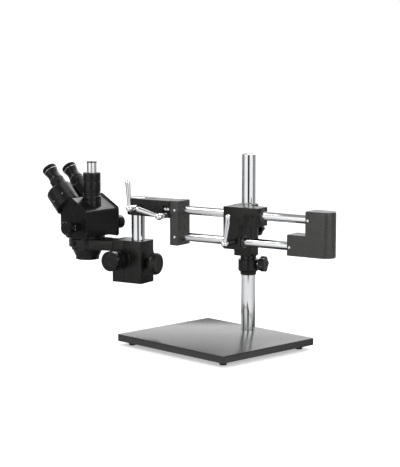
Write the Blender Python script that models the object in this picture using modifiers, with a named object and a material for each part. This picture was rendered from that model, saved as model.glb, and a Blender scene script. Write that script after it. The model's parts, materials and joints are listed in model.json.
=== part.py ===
"""Stereo microscope: a trinocular zoom head on a double-arm boom stand.

Dimensions are in millimetres and the helpers turn them into metres. +Z is up and the floor is Z = 0.
Four nested frames carry the parts:
  stand_axis  the pole; X runs along the base plate's long side
  boom_axis   the pole, X along the boom towards the counterweight
  focus_axis  the vertical post at the boom's end, X towards the pole
  head_axis   the optical axis, X towards the back of the head, the user at -X
Each eye has a frame of its own, with Z along its eyepiece.
"""
import bmesh
import bpy
from math import cos, pi, radians, sin
from mathutils import Vector

MM = 0.001
GAP = 0.3                       # clearance between neighbouring pieces

# Stand
POLE_X, POLE_Y = 124.69, 101.96    # pole axis, with the origin under the middle of the bounding box
PLATE_LENGTH, PLATE_FRONT, PLATE_REAR = 340.0, 250.0, 37.0
FOOT_HEIGHT, FOOT_R, FOOT_INSET = 9.0, 9.0, 24.0
PLATE_BOTTOM, PLATE_TOP = 9.0, 25.0
POLE_R, POLE_TOP = 16.0, 431.0
POCKET_DEPTH = 6.0

# Safety collar and the block above it
COLLAR_SEAT, COLLAR_TOP, COLLAR_STEP, COLLAR_BOTTOM = 198.7, 190.0, 164.0, 154.0
COLLAR_R, COLLAR_NECK_R = 23.0, 18.2
COLLAR_KNOB_Z, COLLAR_KNOB_YAW, COLLAR_KNOB_REACH = 180.0, 20.0, 30.0
BLOCK_FRONT, BLOCK_LEFT = -76.6, -20.0
BLOCK_BOTTOM, BLOCK_STEP, BLOCK_TOP = 221.0, 275.0, 317.0
BLOCK_LOWER_RIGHT, BLOCK_UPPER_RIGHT, BLOCK_UPPER_REAR = 22.0, 70.0, -31.0
BOSS_R, BOSS_BOTTOM, BOSS_FRONT = 22.8, 199.0, -25.0
BLOCK_KNOB_Z, KNOB_REACH = 257.0, 30.0
BOOM_LEVER_T, BOOM_LEVER_Z = 10.7, 239.0
BLOCK_SCREW_T, BLOCK_SCREW_Z = 58.0, 298.0

# Boom
BOOM_YAW = 12.4
RAIL_R, RAIL_S, RAIL_UPPER_Z, RAIL_LOWER_Z = 10.0, -54.0, 299.0, 237.0
RAIL_LEFT, RAIL_RIGHT = -158.0, 240.0
SPIGOT_R, SPIGOT_END = 7.0, -194.0
END_PLATE = ((-165.0, -78.0, 217.5), (-142.5, -27.0, 320.5))
WEIGHT_HALF_WIDTH, WEIGHT_END = 22.5, 253.0
WEIGHT_LOWER_LEFT, WEIGHT_UPPER_LEFT = 145.0, 191.0
WEIGHT_BOTTOM, WEIGHT_STEP, WEIGHT_TOP = 218.0, 265.0, 319.0
PLATE_SCREW_T, WEIGHT_SCREW_T = -152.0, {"upper": 198.0, "lower": 152.0}

# Arm, post and the clamp levers
POST_T, POST_R, POST_BOTTOM, POST_TOP = -271.0, 16.0, 117.0, 320.0
ARM_HALF_WIDTH, ARM_RIGHT, ARM_BOTTOM, ARM_TOP = 25.5, -165.3, 280.0, 319.5
POST_LEVER_T, TILT_LEVER_T, PIVOT_SCREWS_T = -249.0, -171.0, (-177.6, -170.0)
CLAMP_SLIT_END, SLIT_HALF, PINCH_HALF = -214.0, 1.5, 1.2
LEVER_STAND_OFF = 41.0             # from the casting's face to the ball's centre
BALL_R, BALL_NECK_ANGLE = 8.2, 28.4
HANDLE_LENGTH, HANDLE_TIP_R, HANDLE_NECK_R = 67.0, 5.9, 4.0
LEVER_STUD_R, LEVER_COLLAR_R, LEVER_STUD_DEPTH = 3.7, 6.2, 35.0

# Focus block, measured from the post axis
FOCUS_YAW = 2.0
HOUSING_LEFT, HOUSING_RIGHT, HOUSING_HALF = -23.5, 25.5, 28.0
HOUSING_BOTTOM, HOUSING_TOP = 119.0, 219.0
CARRIAGE_LEFT = -56.0
SHAFT_X, SHAFT_Z, SHAFT_R, SHAFT_BORE_R = -29.5, 175.0, 4.5, 4.8
FLANGE_R, FLANGE_THICKNESS = 25.2, 3.0
KNOB_R, KNOB_LENGTH = 23.6, 47.0
POST_KNOB_Z = 166.0
RING_OUTER, RING_INNER, RING_BOTTOM, RING_TOP = 44.5, 38.8, 194.0, 214.0
RING_ARM_BOTTOM = 191.0

# Head, measured from the optical axis
HEAD_REACH, HEAD_YAW = 147.0, -11.0
HEAD_BOTTOM, HEAD_REAR_TOP = 222.5, 284.0
HEAD_REAR, HEAD_HALF_WIDTH = 49.5, 53.0
RIDGE_X, RIDGE_Z = -5.5, 313.5
FRONT_X, NOSE_X, NOSE_HALF_WIDTH = -27.0, -42.0, 44.0
ZOOM_X, ZOOM_Z, ZOOM_END, ZOOM_R = 21.0, 246.5, 92.0, 16.2
PORT_X, PORT_R, PORT_BOTTOM, PORT_TOP = 17.0, 21.0, 268.0, 372.0
PHOTOTUBE_R, PHOTOTUBE_TOP = 11.7, 396.0
HOUSE_R, HOUSE_Y, HOUSE_LENGTH = 32.3, 33.0, 52.0
HOUSE_BASE_X, HOUSE_BASE_Z = -28.0, 292.0
HOUSE_SHOULDER, EYE_TILT = 6.0, 45.0
EYE_OFFSET, EYE_OUTWARD, EYE_END, EYE_SLEEVE_R = 9.5, -1.2, 111.0, 12.0


# ---------------------------------------------------------------- scene and materials
def clear_scene():
    for obj in list(bpy.data.objects):
        bpy.data.objects.remove(obj, do_unlink=True)


def new_collection(name):
    collection = bpy.data.collections.new(name)
    bpy.context.scene.collection.children.link(collection)
    return collection


def finish(name, colour, roughness, metallic):
    material = bpy.data.materials.new(name)
    material.use_nodes = True
    shader = material.node_tree.nodes["Principled BSDF"]
    shader.inputs["Base Color"].default_value = (*colour, 1.0)
    shader.inputs["Roughness"].default_value = roughness
    shader.inputs["Metallic"].default_value = metallic
    material.diffuse_color = (*colour, 1.0)
    return material


clear_scene()
PARTS = new_collection("stereo_microscope")
CUTTERS = new_collection("cutters")
PAINT = finish("black_paint", (0.035, 0.035, 0.033), 0.38, 0.0)
PLATE_PAINT = finish("plate_paint", (0.05, 0.05, 0.05), 0.3, 0.0)
CHROME = finish("chrome", (0.82, 0.82, 0.83), 0.08, 1.0)
STEEL = finish("steel", (0.55, 0.55, 0.56), 0.3, 1.0)
PLASTIC = finish("black_plastic", (0.02, 0.02, 0.02), 0.5, 0.0)
RUBBER = finish("rubber", (0.015, 0.015, 0.015), 0.85, 0.0)
GLASS = finish("glass", (0.25, 0.3, 0.33), 0.05, 0.0)


# ---------------------------------------------------------------- modelling helpers
def axis_frame(name, parent=None, at=(0, 0, 0), yaw=0.0, tilt=0.0):
    """An empty that later pieces are placed from; tilt leans its Z towards -X."""
    empty = bpy.data.objects.new(name, None)
    CUTTERS.objects.link(empty)
    empty.parent = parent
    empty.location = Vector(at) * MM
    empty.rotation_euler = (0, -radians(tilt), radians(yaw))
    return empty


def place(obj, material, parent, at=(0, 0, 0), axis=(0, 0, 1)):
    obj.data.materials.clear()
    obj.data.materials.append(material)
    PARTS.objects.link(obj)
    obj.parent = parent
    obj.location = Vector(at) * MM
    obj.rotation_euler = Vector((0, 0, 1)).rotation_difference(Vector(axis)).to_euler()
    return obj


def turned(name, profile, material, parent, at=(0, 0, 0), axis=(0, 0, 1), steps=24, ring=False):
    """Turn a profile of (radius, height) pairs, listed down its outer side; a ring's is closed."""
    count = len(profile)
    points = [(radius * MM, 0.0, height * MM) for radius, height in profile]
    edges = [(i, (i + 1) % count) for i in range(count if ring else count - 1)]
    mesh = bpy.data.meshes.new(name)
    mesh.from_pydata(points, edges, [])
    obj = place(bpy.data.objects.new(name, mesh), material, parent, at, axis)
    screw = obj.modifiers.new("turn", "SCREW")
    screw.axis = "Z"
    screw.steps = steps
    screw.render_steps = steps
    screw.use_merge_vertices = True
    screw.merge_threshold = 0.00001
    screw.use_smooth_shade = True
    return obj


def rod(name, radius, low, high, material, parent, at=(0, 0, 0), axis=(0, 0, 1), steps=20, edge=0.0):
    """A plain round bar between two heights along its axis, with an optional edge chamfer."""
    profile = [(0, high), (radius - edge, high), (radius, high - edge), (radius, low + edge)]
    profile += [(radius - edge, low), (0, low)]
    if edge == 0.0:
        profile = [(0, high), (radius, high), (radius, low), (0, low)]
    return turned(name, profile, material, parent, at, axis, steps)


def sleeve(name, outer, inner, low, high, material, parent, at=(0, 0, 0), axis=(0, 0, 1), steps=24):
    """A plain round tube between two heights along its axis."""
    profile = [(outer, high), (outer, low), (inner, low), (inner, high)]
    return turned(name, profile, material, parent, at, axis, steps, ring=True)


def block(name, low, high, material, parent, edge=0.0, upright_only=False):
    """A box between two corners; edge bevels it, on its upright edges alone if asked."""
    mesh = bpy.data.meshes.new(name)
    shape = bmesh.new()
    bmesh.ops.create_cube(shape, size=1.0)
    low, high = Vector(low), Vector(high)
    bmesh.ops.scale(shape, vec=(high - low) * MM, verts=shape.verts)
    if edge:
        edges = shape.edges[:]
        if upright_only:
            edges = [e for e in edges if abs(e.verts[0].co.z - e.verts[1].co.z) > 1e-6]
        bmesh.ops.bevel(shape, geom=edges, offset=edge * MM, segments=2, profile=0.5, affect="EDGES")
    shape.to_mesh(mesh)
    shape.free()
    return place(bpy.data.objects.new(name, mesh), material, parent, (low + high) / 2)


def outline(name, points, low, high, material, parent, at=(0, 0, 0), axis=(0, 0, 1)):
    """A flat closed outline given thickness between two heights along its axis."""
    curve = bpy.data.curves.new(name, "CURVE")
    curve.dimensions = "2D"
    curve.fill_mode = "BOTH"
    curve.extrude = (high - low) / 2 * MM
    spline = curve.splines.new("POLY")
    spline.points.add(len(points) - 1)
    for target, (x, y) in zip(spline.points, points):
        target.co = (x * MM, y * MM, 0.0, 1.0)
    spline.use_cyclic_u = True
    flat = bpy.data.objects.new(name + "_outline", curve)
    PARTS.objects.link(flat)
    bpy.context.view_layer.update()
    mesh = bpy.data.meshes.new_from_object(flat.evaluated_get(bpy.context.evaluated_depsgraph_get()))
    bpy.data.objects.remove(flat, do_unlink=True)
    bpy.data.curves.remove(curve)
    shape = bmesh.new()
    shape.from_mesh(mesh)
    bmesh.ops.remove_doubles(shape, verts=shape.verts, dist=0.00001)
    bmesh.ops.recalc_face_normals(shape, faces=shape.faces)
    bmesh.ops.translate(shape, vec=(0, 0, (high + low) / 2 * MM), verts=shape.verts)
    shape.to_mesh(mesh)
    shape.free()
    mesh.name = name
    return place(bpy.data.objects.new(name, mesh), material, parent, at, axis)


def combine(target, tool, operation):
    """Cut the tool out of the target, or join the two; the tool becomes a hidden guide."""
    PARTS.objects.unlink(tool)
    CUTTERS.objects.link(tool)
    tool.hide_render = True
    tool.display_type = "WIRE"
    boolean = target.modifiers.new(tool.name, "BOOLEAN")
    boolean.operation = operation
    boolean.solver = "EXACT"
    boolean.object = tool
    return target


def cut(target, tool):
    return combine(target, tool, "DIFFERENCE")


def join(target, tool):
    return combine(target, tool, "UNION")


def drill(target, name, radius, low, high, parent, at, axis, steps=16):
    """Bore a round hole; its facets are turned so that holes on one axis share no facet line."""
    tool = rod(name, radius, low, high, STEEL, parent, at, axis, steps)
    tool.rotation_euler.rotate_axis("Z", radians(1.7 * radius))
    return cut(target, tool)


def arc(centre, radius, start, end, count):
    """Points on a circle from one angle to another, in degrees."""
    angles = [radians(start + (end - start) * i / count) for i in range(count + 1)]
    return [(centre[0] + radius * cos(a), centre[1] + radius * sin(a)) for a in angles]


def star_knob(name, radius, thickness, stud_r, stud_length, parent, at, axis, lobes=6):
    """A lobed clamp knob whose stud reaches back along -axis from the knob's inner face."""
    count = lobes * 6
    points = []
    for i in range(count):
        angle = 2 * pi * i / count
        reach = radius * (0.86 + 0.14 * cos(lobes * angle))
        points.append((reach * cos(angle), reach * sin(angle)))
    knob = outline(name, points, 0.0, thickness, PLASTIC, parent, at, axis)
    hub = [(0, 2.0), (radius * 0.5, 2.0), (radius * 0.5, -4.0), (stud_r, -4.0)]
    hub += [(stud_r, -stud_length), (0, -stud_length)]
    return join(knob, turned(name + "_stud", hub, STEEL, parent, at, axis, 24))


def ball_lever(name, parent, entry, handle, stud_depth=LEVER_STUD_DEPTH, stand_off=LEVER_STAND_OFF):
    """A chrome ball lever on a stud along -Y; entry is where the stud enters the casting."""
    ball = Vector(entry) + Vector((0, -stand_off, 0))
    tip_centre = HANDLE_LENGTH - HANDLE_TIP_R
    tip = [(HANDLE_TIP_R * sin(radians(a)), tip_centre + HANDLE_TIP_R * cos(radians(a)))
           for a in (0, 30, 60)]
    grip = tip + [(HANDLE_TIP_R + 0.2, HANDLE_LENGTH - 7.5), (HANDLE_NECK_R, BALL_R)]
    sweep = 180 - BALL_NECK_ANGLE
    angles = [radians(BALL_NECK_ANGLE + sweep * i / 6) for i in range(6)]
    sphere = [(BALL_R * sin(a), BALL_R * cos(a)) for a in angles] + [(0.0, -BALL_R)]
    lever = turned(name, grip + sphere, CHROME, parent, ball, Vector(handle).normalized(), 14)
    far = stand_off + stud_depth
    collar_top = stand_off - GAP - 3
    stud = [(0, far), (LEVER_STUD_R, far), (LEVER_STUD_R, collar_top), (LEVER_COLLAR_R, collar_top)]
    stud += [(LEVER_COLLAR_R, 12.0), (4.2, 10.0), (4.2, 1.0), (0, 1.0)]
    return join(lever, turned(name + "_stud", stud, CHROME, parent, ball, (0, 1, 0), 12))


def grub_screw(name, parent, at, axis, length=8.0, radius=3.0):
    """A small socket screw whose outer end is flush at the given point."""
    profile = [(0, -2.0), (1.4, -2.0), (1.4, -0.2), (radius - 0.4, -0.2), (radius, -0.6)]
    profile += [(radius, -length), (0, -length)]
    return turned(name, profile, STEEL, parent, at, axis, 12)


# ---------------------------------------------------------------- frames
stand_axis = axis_frame("stand_axis", at=(POLE_X, POLE_Y, 0))
boom_axis = axis_frame("boom_axis", stand_axis, yaw=BOOM_YAW)
focus_axis = axis_frame("focus_axis", boom_axis, (POST_T, RAIL_S, 0), FOCUS_YAW)
head_axis = axis_frame("head_axis", focus_axis, (-HEAD_REACH, 0, 0), HEAD_YAW)


# ---------------------------------------------------------------- stand
def build_stand():
    left, right = -PLATE_LENGTH / 2, PLATE_LENGTH / 2
    plate = block("base_plate", (left, -PLATE_FRONT, PLATE_BOTTOM), (right, PLATE_REAR, PLATE_TOP),
                  PLATE_PAINT, stand_axis, edge=1.2)
    pocket = PLATE_TOP - POCKET_DEPTH
    drill(plate, "pole_pocket", POLE_R + GAP, pocket, PLATE_TOP + 5, stand_axis, (0, 0, 0), (0, 0, 1), 24)
    drill(plate, "pole_screw_hole", 5.2, 0, pocket + 2, stand_axis, (0, 0, 0), (0, 0, 1))
    drill(plate, "pole_screw_head_hole", 9.0, 0, PLATE_BOTTOM + 6.5, stand_axis, (0, 0, 0), (0, 0, 1))
    corners = [(x, y) for y in (-PLATE_FRONT + FOOT_INSET, PLATE_REAR - FOOT_INSET)
               for x in (left + FOOT_INSET, right - FOOT_INSET)]
    for number, (x, y) in enumerate(corners, start=1):
        top = FOOT_HEIGHT - GAP
        drill(plate, f"foot_hole_{number}", 3.6, 0, 19, stand_axis, (x, y, 0), (0, 0, 1), 12)
        profile = [(0, 17), (3.2, 17), (3.2, top), (FOOT_R, top), (FOOT_R - 1, 0.8), (FOOT_R - 1.8, 0)]
        profile += [(3.5, 0), (3.5, 2.5), (0, 2.5)]
        turned(f"foot_{number}", profile, RUBBER, stand_axis, (x, y, 0), steps=14)
    pole = [(0, POLE_TOP), (POLE_R - 1.5, POLE_TOP), (POLE_R, POLE_TOP - 1.5), (POLE_R, pocket + 1.3)]
    pole += [(POLE_R - 1, pocket + GAP), (5.2, pocket + GAP), (5.2, 52), (0, 52)]
    turned("pole", pole, CHROME, stand_axis, steps=24)
    screw = [(0, 48), (4.8, 48), (4.8, PLATE_BOTTOM + 6.2), (8.6, PLATE_BOTTOM + 6.2)]
    screw += [(8.6, PLATE_BOTTOM + 0.3), (4, PLATE_BOTTOM + 0.3), (4, PLATE_BOTTOM + 3.5)]
    screw += [(0, PLATE_BOTTOM + 3.5)]
    turned("pole_screw", screw, STEEL, stand_axis, steps=20)


def build_collar():
    bore = POLE_R + GAP
    profile = [(COLLAR_NECK_R, COLLAR_SEAT), (COLLAR_NECK_R, COLLAR_TOP)]
    profile += [(COLLAR_R - 1, COLLAR_TOP), (COLLAR_R, COLLAR_TOP - 1), (COLLAR_R, COLLAR_STEP)]
    profile += [(COLLAR_NECK_R, COLLAR_STEP - 3), (COLLAR_NECK_R, COLLAR_BOTTOM)]
    profile += [(bore, COLLAR_BOTTOM), (bore, COLLAR_SEAT)]
    collar = turned("collar", profile, PAINT, stand_axis, steps=24, ring=True)
    heading = radians(COLLAR_KNOB_YAW)
    outward = (cos(heading), sin(heading), 0)
    at = (0, 0, COLLAR_KNOB_Z)
    drill(collar, "collar_knob_hole", 3.8, POLE_R - 2, 40, stand_axis, at, outward, 16)
    knob_at = (COLLAR_KNOB_REACH * outward[0], COLLAR_KNOB_REACH * outward[1], COLLAR_KNOB_Z)
    stud_length = COLLAR_KNOB_REACH - POLE_R - 2 * GAP
    star_knob("collar_knob", 18.5, 14.0, 3.5, stud_length, stand_axis, knob_at, outward, 5)


def build_cross_block():
    body = block("cross_block", (BLOCK_LEFT, BLOCK_FRONT, BLOCK_STEP),
                 (BLOCK_UPPER_RIGHT, BLOCK_UPPER_REAR, BLOCK_TOP), PAINT, boom_axis, 3.0, True)
    lower = block("block_lower", (BLOCK_LEFT, BLOCK_FRONT, BLOCK_BOTTOM),
                  (BLOCK_LOWER_RIGHT, BOSS_FRONT + 8, BLOCK_TOP), PAINT, boom_axis)
    join(body, lower)
    saddle = block("block_saddle", (-BOSS_R, BOSS_FRONT, BOSS_BOTTOM), (BOSS_R, 0, BLOCK_TOP),
                   PAINT, boom_axis)
    join(body, saddle)
    join(body, rod("block_boss", BOSS_R, BOSS_BOTTOM, BLOCK_TOP, PAINT, boom_axis, steps=24))
    drill(body, "pole_bore", POLE_R + GAP, 150, 350, boom_axis, (0, 0, 0), (0, 0, 1), 24)
    runs = (("upper", RAIL_UPPER_Z, BLOCK_UPPER_RIGHT), ("lower", RAIL_LOWER_Z, BLOCK_LOWER_RIGHT))
    for level, height, right in runs:
        at = (0, RAIL_S, height)
        drill(body, f"rail_bore_{level}", RAIL_R + 0.9, -60, 120, boom_axis, at, (1, 0, 0))
        for side, face, sign in (("left", BLOCK_LEFT, -1), ("right", right, 1)):
            flanged_bushing(body, f"bushing_{level}_{side}", (face, RAIL_S, height), sign)
    lever_at = (BOOM_LEVER_T, BLOCK_FRONT, BOOM_LEVER_Z)
    drill(body, "boom_lever_hole", 4.1, -10, 14, boom_axis, lever_at, (0, 1, 0), 16)
    drill(body, "block_knob_hole", 4.2, 12, 40, boom_axis, (0, 0, BLOCK_KNOB_Z), (0, 1, 0), 16)
    screw_hole_at = (BLOCK_SCREW_T, BLOCK_FRONT - 0.5, BLOCK_SCREW_Z)
    drill(body, "block_screw_hole", 3.3, 0, 9, boom_axis, screw_hole_at, (0, 1, 0), 12)
    grub_screw("block_screw", boom_axis, (BLOCK_SCREW_T, BLOCK_FRONT, BLOCK_SCREW_Z), (0, -1, 0))
    stud_length = KNOB_REACH - POLE_R - 2 * GAP
    knob_at = (0, KNOB_REACH, BLOCK_KNOB_Z)
    star_knob("block_knob", 19.0, 13.0, 3.8, stud_length, boom_axis, knob_at, (0, 1, 0))
    ball_lever("boom_lever", boom_axis, lever_at, (10, 0, 67), stud_depth=8.0)


def flanged_bushing(body, name, face_point, sign):
    """A flanged bushing in one face of the block, with its counterbore."""
    axis = (sign, 0, 0)
    drill(body, name + "_seat", 13.3, -12.3, 5, boom_axis, face_point, axis)
    profile = [(14.5, 1.8), (14.5, GAP), (13.0, GAP), (13.0, -12.0), (10.3, -12.0), (10.3, 1.8)]
    turned(name, profile, PAINT, boom_axis, face_point, axis, 24, ring=True)


# ---------------------------------------------------------------- boom
def weight_plan(left):
    """Plan of the counterweight from a flat left end to its full-round right end."""
    centre = (WEIGHT_END - WEIGHT_HALF_WIDTH, RAIL_S)
    points = [(left, RAIL_S + WEIGHT_HALF_WIDTH), (left, RAIL_S - WEIGHT_HALF_WIDTH)]
    return points + arc(centre, WEIGHT_HALF_WIDTH, -90, 90, 16)


def build_boom():
    low, high = END_PLATE
    plate = block("end_plate", low, high, PAINT, boom_axis, 1.5)
    weight = outline("counterweight", weight_plan(WEIGHT_UPPER_LEFT), WEIGHT_STEP - 10, WEIGHT_TOP,
                     PAINT, boom_axis)
    join(weight, outline("weight_lower", weight_plan(WEIGHT_LOWER_LEFT), WEIGHT_BOTTOM, WEIGHT_STEP,
                         PAINT, boom_axis))
    for level, height in (("upper", RAIL_UPPER_Z), ("lower", RAIL_LOWER_Z)):
        at = (0, RAIL_S, height)
        drill(plate, f"plate_bore_{level}", RAIL_R + GAP, RAIL_LEFT - GAP, 0, boom_axis, at, (1, 0, 0))
        drill(weight, f"weight_bore_{level}", RAIL_R + GAP, 100, RAIL_RIGHT + GAP, boom_axis, at, (1, 0, 0))
        faces = (("plate", plate, PLATE_SCREW_T, low[1]),
                 ("weight", weight, WEIGHT_SCREW_T[level], RAIL_S - WEIGHT_HALF_WIDTH))
        for place_name, target, t, face in faces:
            name = f"{place_name}_screw_{level}"
            drill(target, name + "_hole", 3.4, -0.5, 14, boom_axis, (t, face, height), (0, 1, 0), 12)
            grub_screw(name, boom_axis, (t, face, height), (0, -1, 0))
    drill(plate, "spigot_hole", SPIGOT_R + GAP, -170, -150, boom_axis, (0, RAIL_S, RAIL_UPPER_Z), (1, 0, 0))
    rod("rail_lower", RAIL_R, RAIL_LEFT, RAIL_RIGHT, CHROME, boom_axis, (0, RAIL_S, RAIL_LOWER_Z),
        (1, 0, 0), 24, 1.0)
    upper = [(0, RAIL_RIGHT), (RAIL_R, RAIL_RIGHT), (RAIL_R, RAIL_LEFT), (SPIGOT_R, RAIL_LEFT)]
    upper += [(SPIGOT_R, SPIGOT_END), (0, SPIGOT_END)]
    turned("rail_upper", upper, CHROME, boom_axis, (0, RAIL_S, RAIL_UPPER_Z), (1, 0, 0), 24)


# ---------------------------------------------------------------- arm
def build_arm():
    front = RAIL_S - ARM_HALF_WIDTH
    plan = [(ARM_RIGHT, front), (ARM_RIGHT, RAIL_S + ARM_HALF_WIDTH)]
    plan += arc((POST_T, RAIL_S), ARM_HALF_WIDTH, 90, 270, 16)
    arm = outline("arm", plan, ARM_BOTTOM, ARM_TOP, PAINT, boom_axis)
    drill(arm, "post_bore", POST_R + GAP, 250, 350, boom_axis, (POST_T, RAIL_S, 0), (0, 0, 1), 24)
    cut(arm, block("clamp_slit", (POST_T, RAIL_S - SLIT_HALF, 250), (CLAMP_SLIT_END, RAIL_S + SLIT_HALF, 350),
                   PAINT, boom_axis))
    pivot = (0, RAIL_S, RAIL_UPPER_Z)
    drill(arm, "pivot_bore", SPIGOT_R + GAP, SPIGOT_END - 1, -150, boom_axis, pivot, (1, 0, 0))
    cut(arm, block("pinch_slit", (-190, RAIL_S - PINCH_HALF, 270), (-150, RAIL_S + PINCH_HALF, RAIL_UPPER_Z),
                   PAINT, boom_axis))
    cut(arm, block("screw_window", (-183, front - 5, 293), (-160, front + 5, 308), PAINT, boom_axis))
    for number, t in enumerate(PIVOT_SCREWS_T, start=1):
        at = (t, front + 5, 300)
        drill(arm, f"pivot_screw_hole_{number}", 3.0, -9, 2, boom_axis, at, (0, -1, 0), 12)
        profile = [(0, 2.6), (1.6, 3.6), (3.6, 3.2), (3.6, 0.4), (2.6, 0.4), (2.6, -7), (0, -7)]
        turned(f"pivot_screw_{number}", profile, CHROME, boom_axis, at, (0, -1, 0), 16)
    levers = (("post_lever", (POST_LEVER_T, front, 301.0), (-5, 0, 67), LEVER_STAND_OFF - 2),
              ("tilt_lever", (TILT_LEVER_T, front, 286.5), (-62, 0, 14), LEVER_STAND_OFF - 9))
    for name, entry, handle, stand_off in levers:
        drill(arm, name + "_hole", 4.1, -5, 37, boom_axis, entry, (0, 1, 0), 16)
        ball_lever(name, boom_axis, entry, handle, stand_off=stand_off)


def build_post():
    rod("post", POST_R, POST_BOTTOM, POST_TOP, CHROME, focus_axis, steps=24, edge=1.0)


# ---------------------------------------------------------------- focus block
def build_focus_block():
    half = HOUSING_HALF
    housing = block("focus_housing", (HOUSING_LEFT, -half, HOUSING_BOTTOM),
                    (HOUSING_RIGHT, half, HOUSING_TOP), PAINT, focus_axis, 3.0, True)
    groove = [(HOUSING_LEFT - 4, -9), (HOUSING_LEFT, -9), (-18.5, -13), (-18.5, 13)]
    groove += [(HOUSING_LEFT, 9), (HOUSING_LEFT - 4, 9)]
    cut(housing, outline("dovetail_groove", groove, 100, 240, PAINT, focus_axis))
    drill(housing, "housing_bore", POST_R + GAP, 100, 240, focus_axis, (0, 0, 0), (0, 0, 1), 24)
    drill(housing, "post_knob_hole", 5.2, 10, 40, focus_axis, (0, 0, POST_KNOB_Z), (1, 0, 0), 16)
    knob = [(0, 56), (21, 56), (25, 53.5), (26.2, 50), (26.2, 45), (24, 41.5), (12, 39), (12, 27)]
    knob += [(4.9, 27), (4.9, POST_R + 0.5), (0, POST_R + 0.5)]
    turned("post_knob", knob, PAINT, focus_axis, (0, 0, POST_KNOB_Z), (1, 0, 0), 24)

    root = HOUSING_LEFT - GAP
    carriage = block("carriage", (CARRIAGE_LEFT, -half, HOUSING_BOTTOM), (root, half, HOUSING_TOP),
                     PAINT, focus_axis)
    key = [(root - 4, -8.6), (root, -8.6), (-18.9, -12.5), (-18.9, 12.5), (root, 8.6), (root - 4, 8.6)]
    join(carriage, outline("dovetail_key", key, HOUSING_BOTTOM, HOUSING_TOP, PAINT, focus_axis))
    shaft_at = (SHAFT_X, 0, SHAFT_Z)
    drill(carriage, "shaft_bore", SHAFT_BORE_R, -60, 60, focus_axis, shaft_at, (0, 1, 0), 20)
    rod("focus_shaft", SHAFT_R, -half - 30, half + 30, STEEL, focus_axis, shaft_at, (0, 1, 0), 20, 0.5)
    for side, sign in (("front", -1), ("rear", 1)):
        axis = (0, sign, 0)
        flange_end = half + GAP + FLANGE_THICKNESS
        sleeve(f"focus_flange_{side}", FLANGE_R, SHAFT_BORE_R, half + GAP, flange_end, PAINT, focus_axis,
               shaft_at, axis, 24)
        near = flange_end + GAP
        far = near + KNOB_LENGTH
        profile = [(0, far - 1.5), (19.5, far - 1.5), (20.5, far), (22.5, far), (KNOB_R, far - 2)]
        profile += [(KNOB_R, near), (SHAFT_BORE_R, near), (SHAFT_BORE_R, half + 30.5), (0, half + 30.5)]
        turned(f"focus_knob_{side}", profile, PLASTIC, focus_axis, shaft_at, axis, 24)


def build_ring():
    centre = (-HEAD_REACH, 0, 0)
    ring = rod("scope_ring", RING_OUTER, RING_BOTTOM, RING_TOP, PAINT, focus_axis, centre, steps=28)
    right = CARRIAGE_LEFT - GAP
    left = -HEAD_REACH + RING_OUTER / 2
    plan = [(right, -27), (right, 27), (left, 35), (left, -35)]
    join(ring, outline("ring_arm", plan, RING_ARM_BOTTOM, RING_TOP, PAINT, focus_axis))
    drill(ring, "ring_bore", RING_INNER, 150, 250, focus_axis, centre, (0, 0, 1), 28)
    heading = radians(-98.5)
    outward = (cos(heading), sin(heading), 0)
    at = (-HEAD_REACH, 0, 203)
    drill(ring, "ring_screw_hole", 3.2, 30, 50, focus_axis, at, outward, 16)
    profile = [(0, 46.5), (1.3, 46.5), (1.3, 48.2), (3.6, 48.2)]
    profile += [(3.6, 45), (2.9, 45), (2.9, 38.6), (0, 38.6)]
    turned("ring_screw", profile, STEEL, focus_axis, at, outward, 16)


# ---------------------------------------------------------------- head
def build_head():
    side = [(HEAD_REAR, HEAD_BOTTOM), (HEAD_REAR, HEAD_REAR_TOP), (RIDGE_X, RIDGE_Z)]
    drop = RIDGE_X - FRONT_X
    side += [(FRONT_X, RIDGE_Z - drop), (FRONT_X, 236.0), (FRONT_X + 14, HEAD_BOTTOM)]
    side = [(x, -z) for x, z in side]
    half = HEAD_HALF_WIDTH
    body = outline("head_body", side, -half, half, PAINT, head_axis, axis=(0, 1, 0))
    nose_drop = RIDGE_X - NOSE_X
    nose = [(0, RIDGE_Z - 12), (FRONT_X, RIDGE_Z - drop), (NOSE_X, RIDGE_Z - nose_drop), (NOSE_X, 244.0)]
    nose += [(NOSE_X + 16, HEAD_BOTTOM + 4), (0, HEAD_BOTTOM + 4)]
    nose = [(x, -z) for x, z in nose]
    join(body, outline("head_nose", nose, -NOSE_HALF_WIDTH, NOSE_HALF_WIDTH, PAINT, head_axis,
                       axis=(0, 1, 0)))
    drill(body, "port_hole", PORT_R + 1.1, PORT_BOTTOM - GAP, 400, head_axis, (PORT_X, 0, 0), (0, 0, 1), 24)
    zoom_at = (ZOOM_X, 0, ZOOM_Z)
    drill(body, "zoom_hole", 5.1, -80, 80, head_axis, zoom_at, (0, 1, 0), 20)
    rod("zoom_shaft", 4.8, -half - 20, half + 20, STEEL, head_axis, zoom_at, (0, 1, 0), 20, 0.5)
    for name, sign in (("left", -1), ("right", 1)):
        profile = [(0, ZOOM_END), (ZOOM_R - 2, ZOOM_END), (ZOOM_R, ZOOM_END - 2), (ZOOM_R, half + 21)]
        profile += [(11, half + 19), (11, half + GAP), (5.1, half + GAP)]
        profile += [(5.1, half + 20.4), (0, half + 20.4)]
        turned(f"zoom_knob_{name}", profile, PLASTIC, head_axis, zoom_at, (0, sign, 0), 24)

    top = HEAD_BOTTOM - GAP
    seat = RING_TOP + GAP
    cone = [(0, top), (42, top), (42, seat), (38, seat), (38, 187), (36, 186), (29.5, 172)]
    cone += [(28, 171), (28, 169), (27.5, 163), (23.5, 163), (23.5, 170), (0, 170)]
    turned("nosepiece", cone, PAINT, head_axis, steps=28)
    glass = [(0, 168.2), (16, 169.0), (23.2, 169.7), (23.2, 165.5), (16, 164.8), (0, 164.2)]
    turned("objective_lens", glass, GLASS, head_axis, steps=24)


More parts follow.
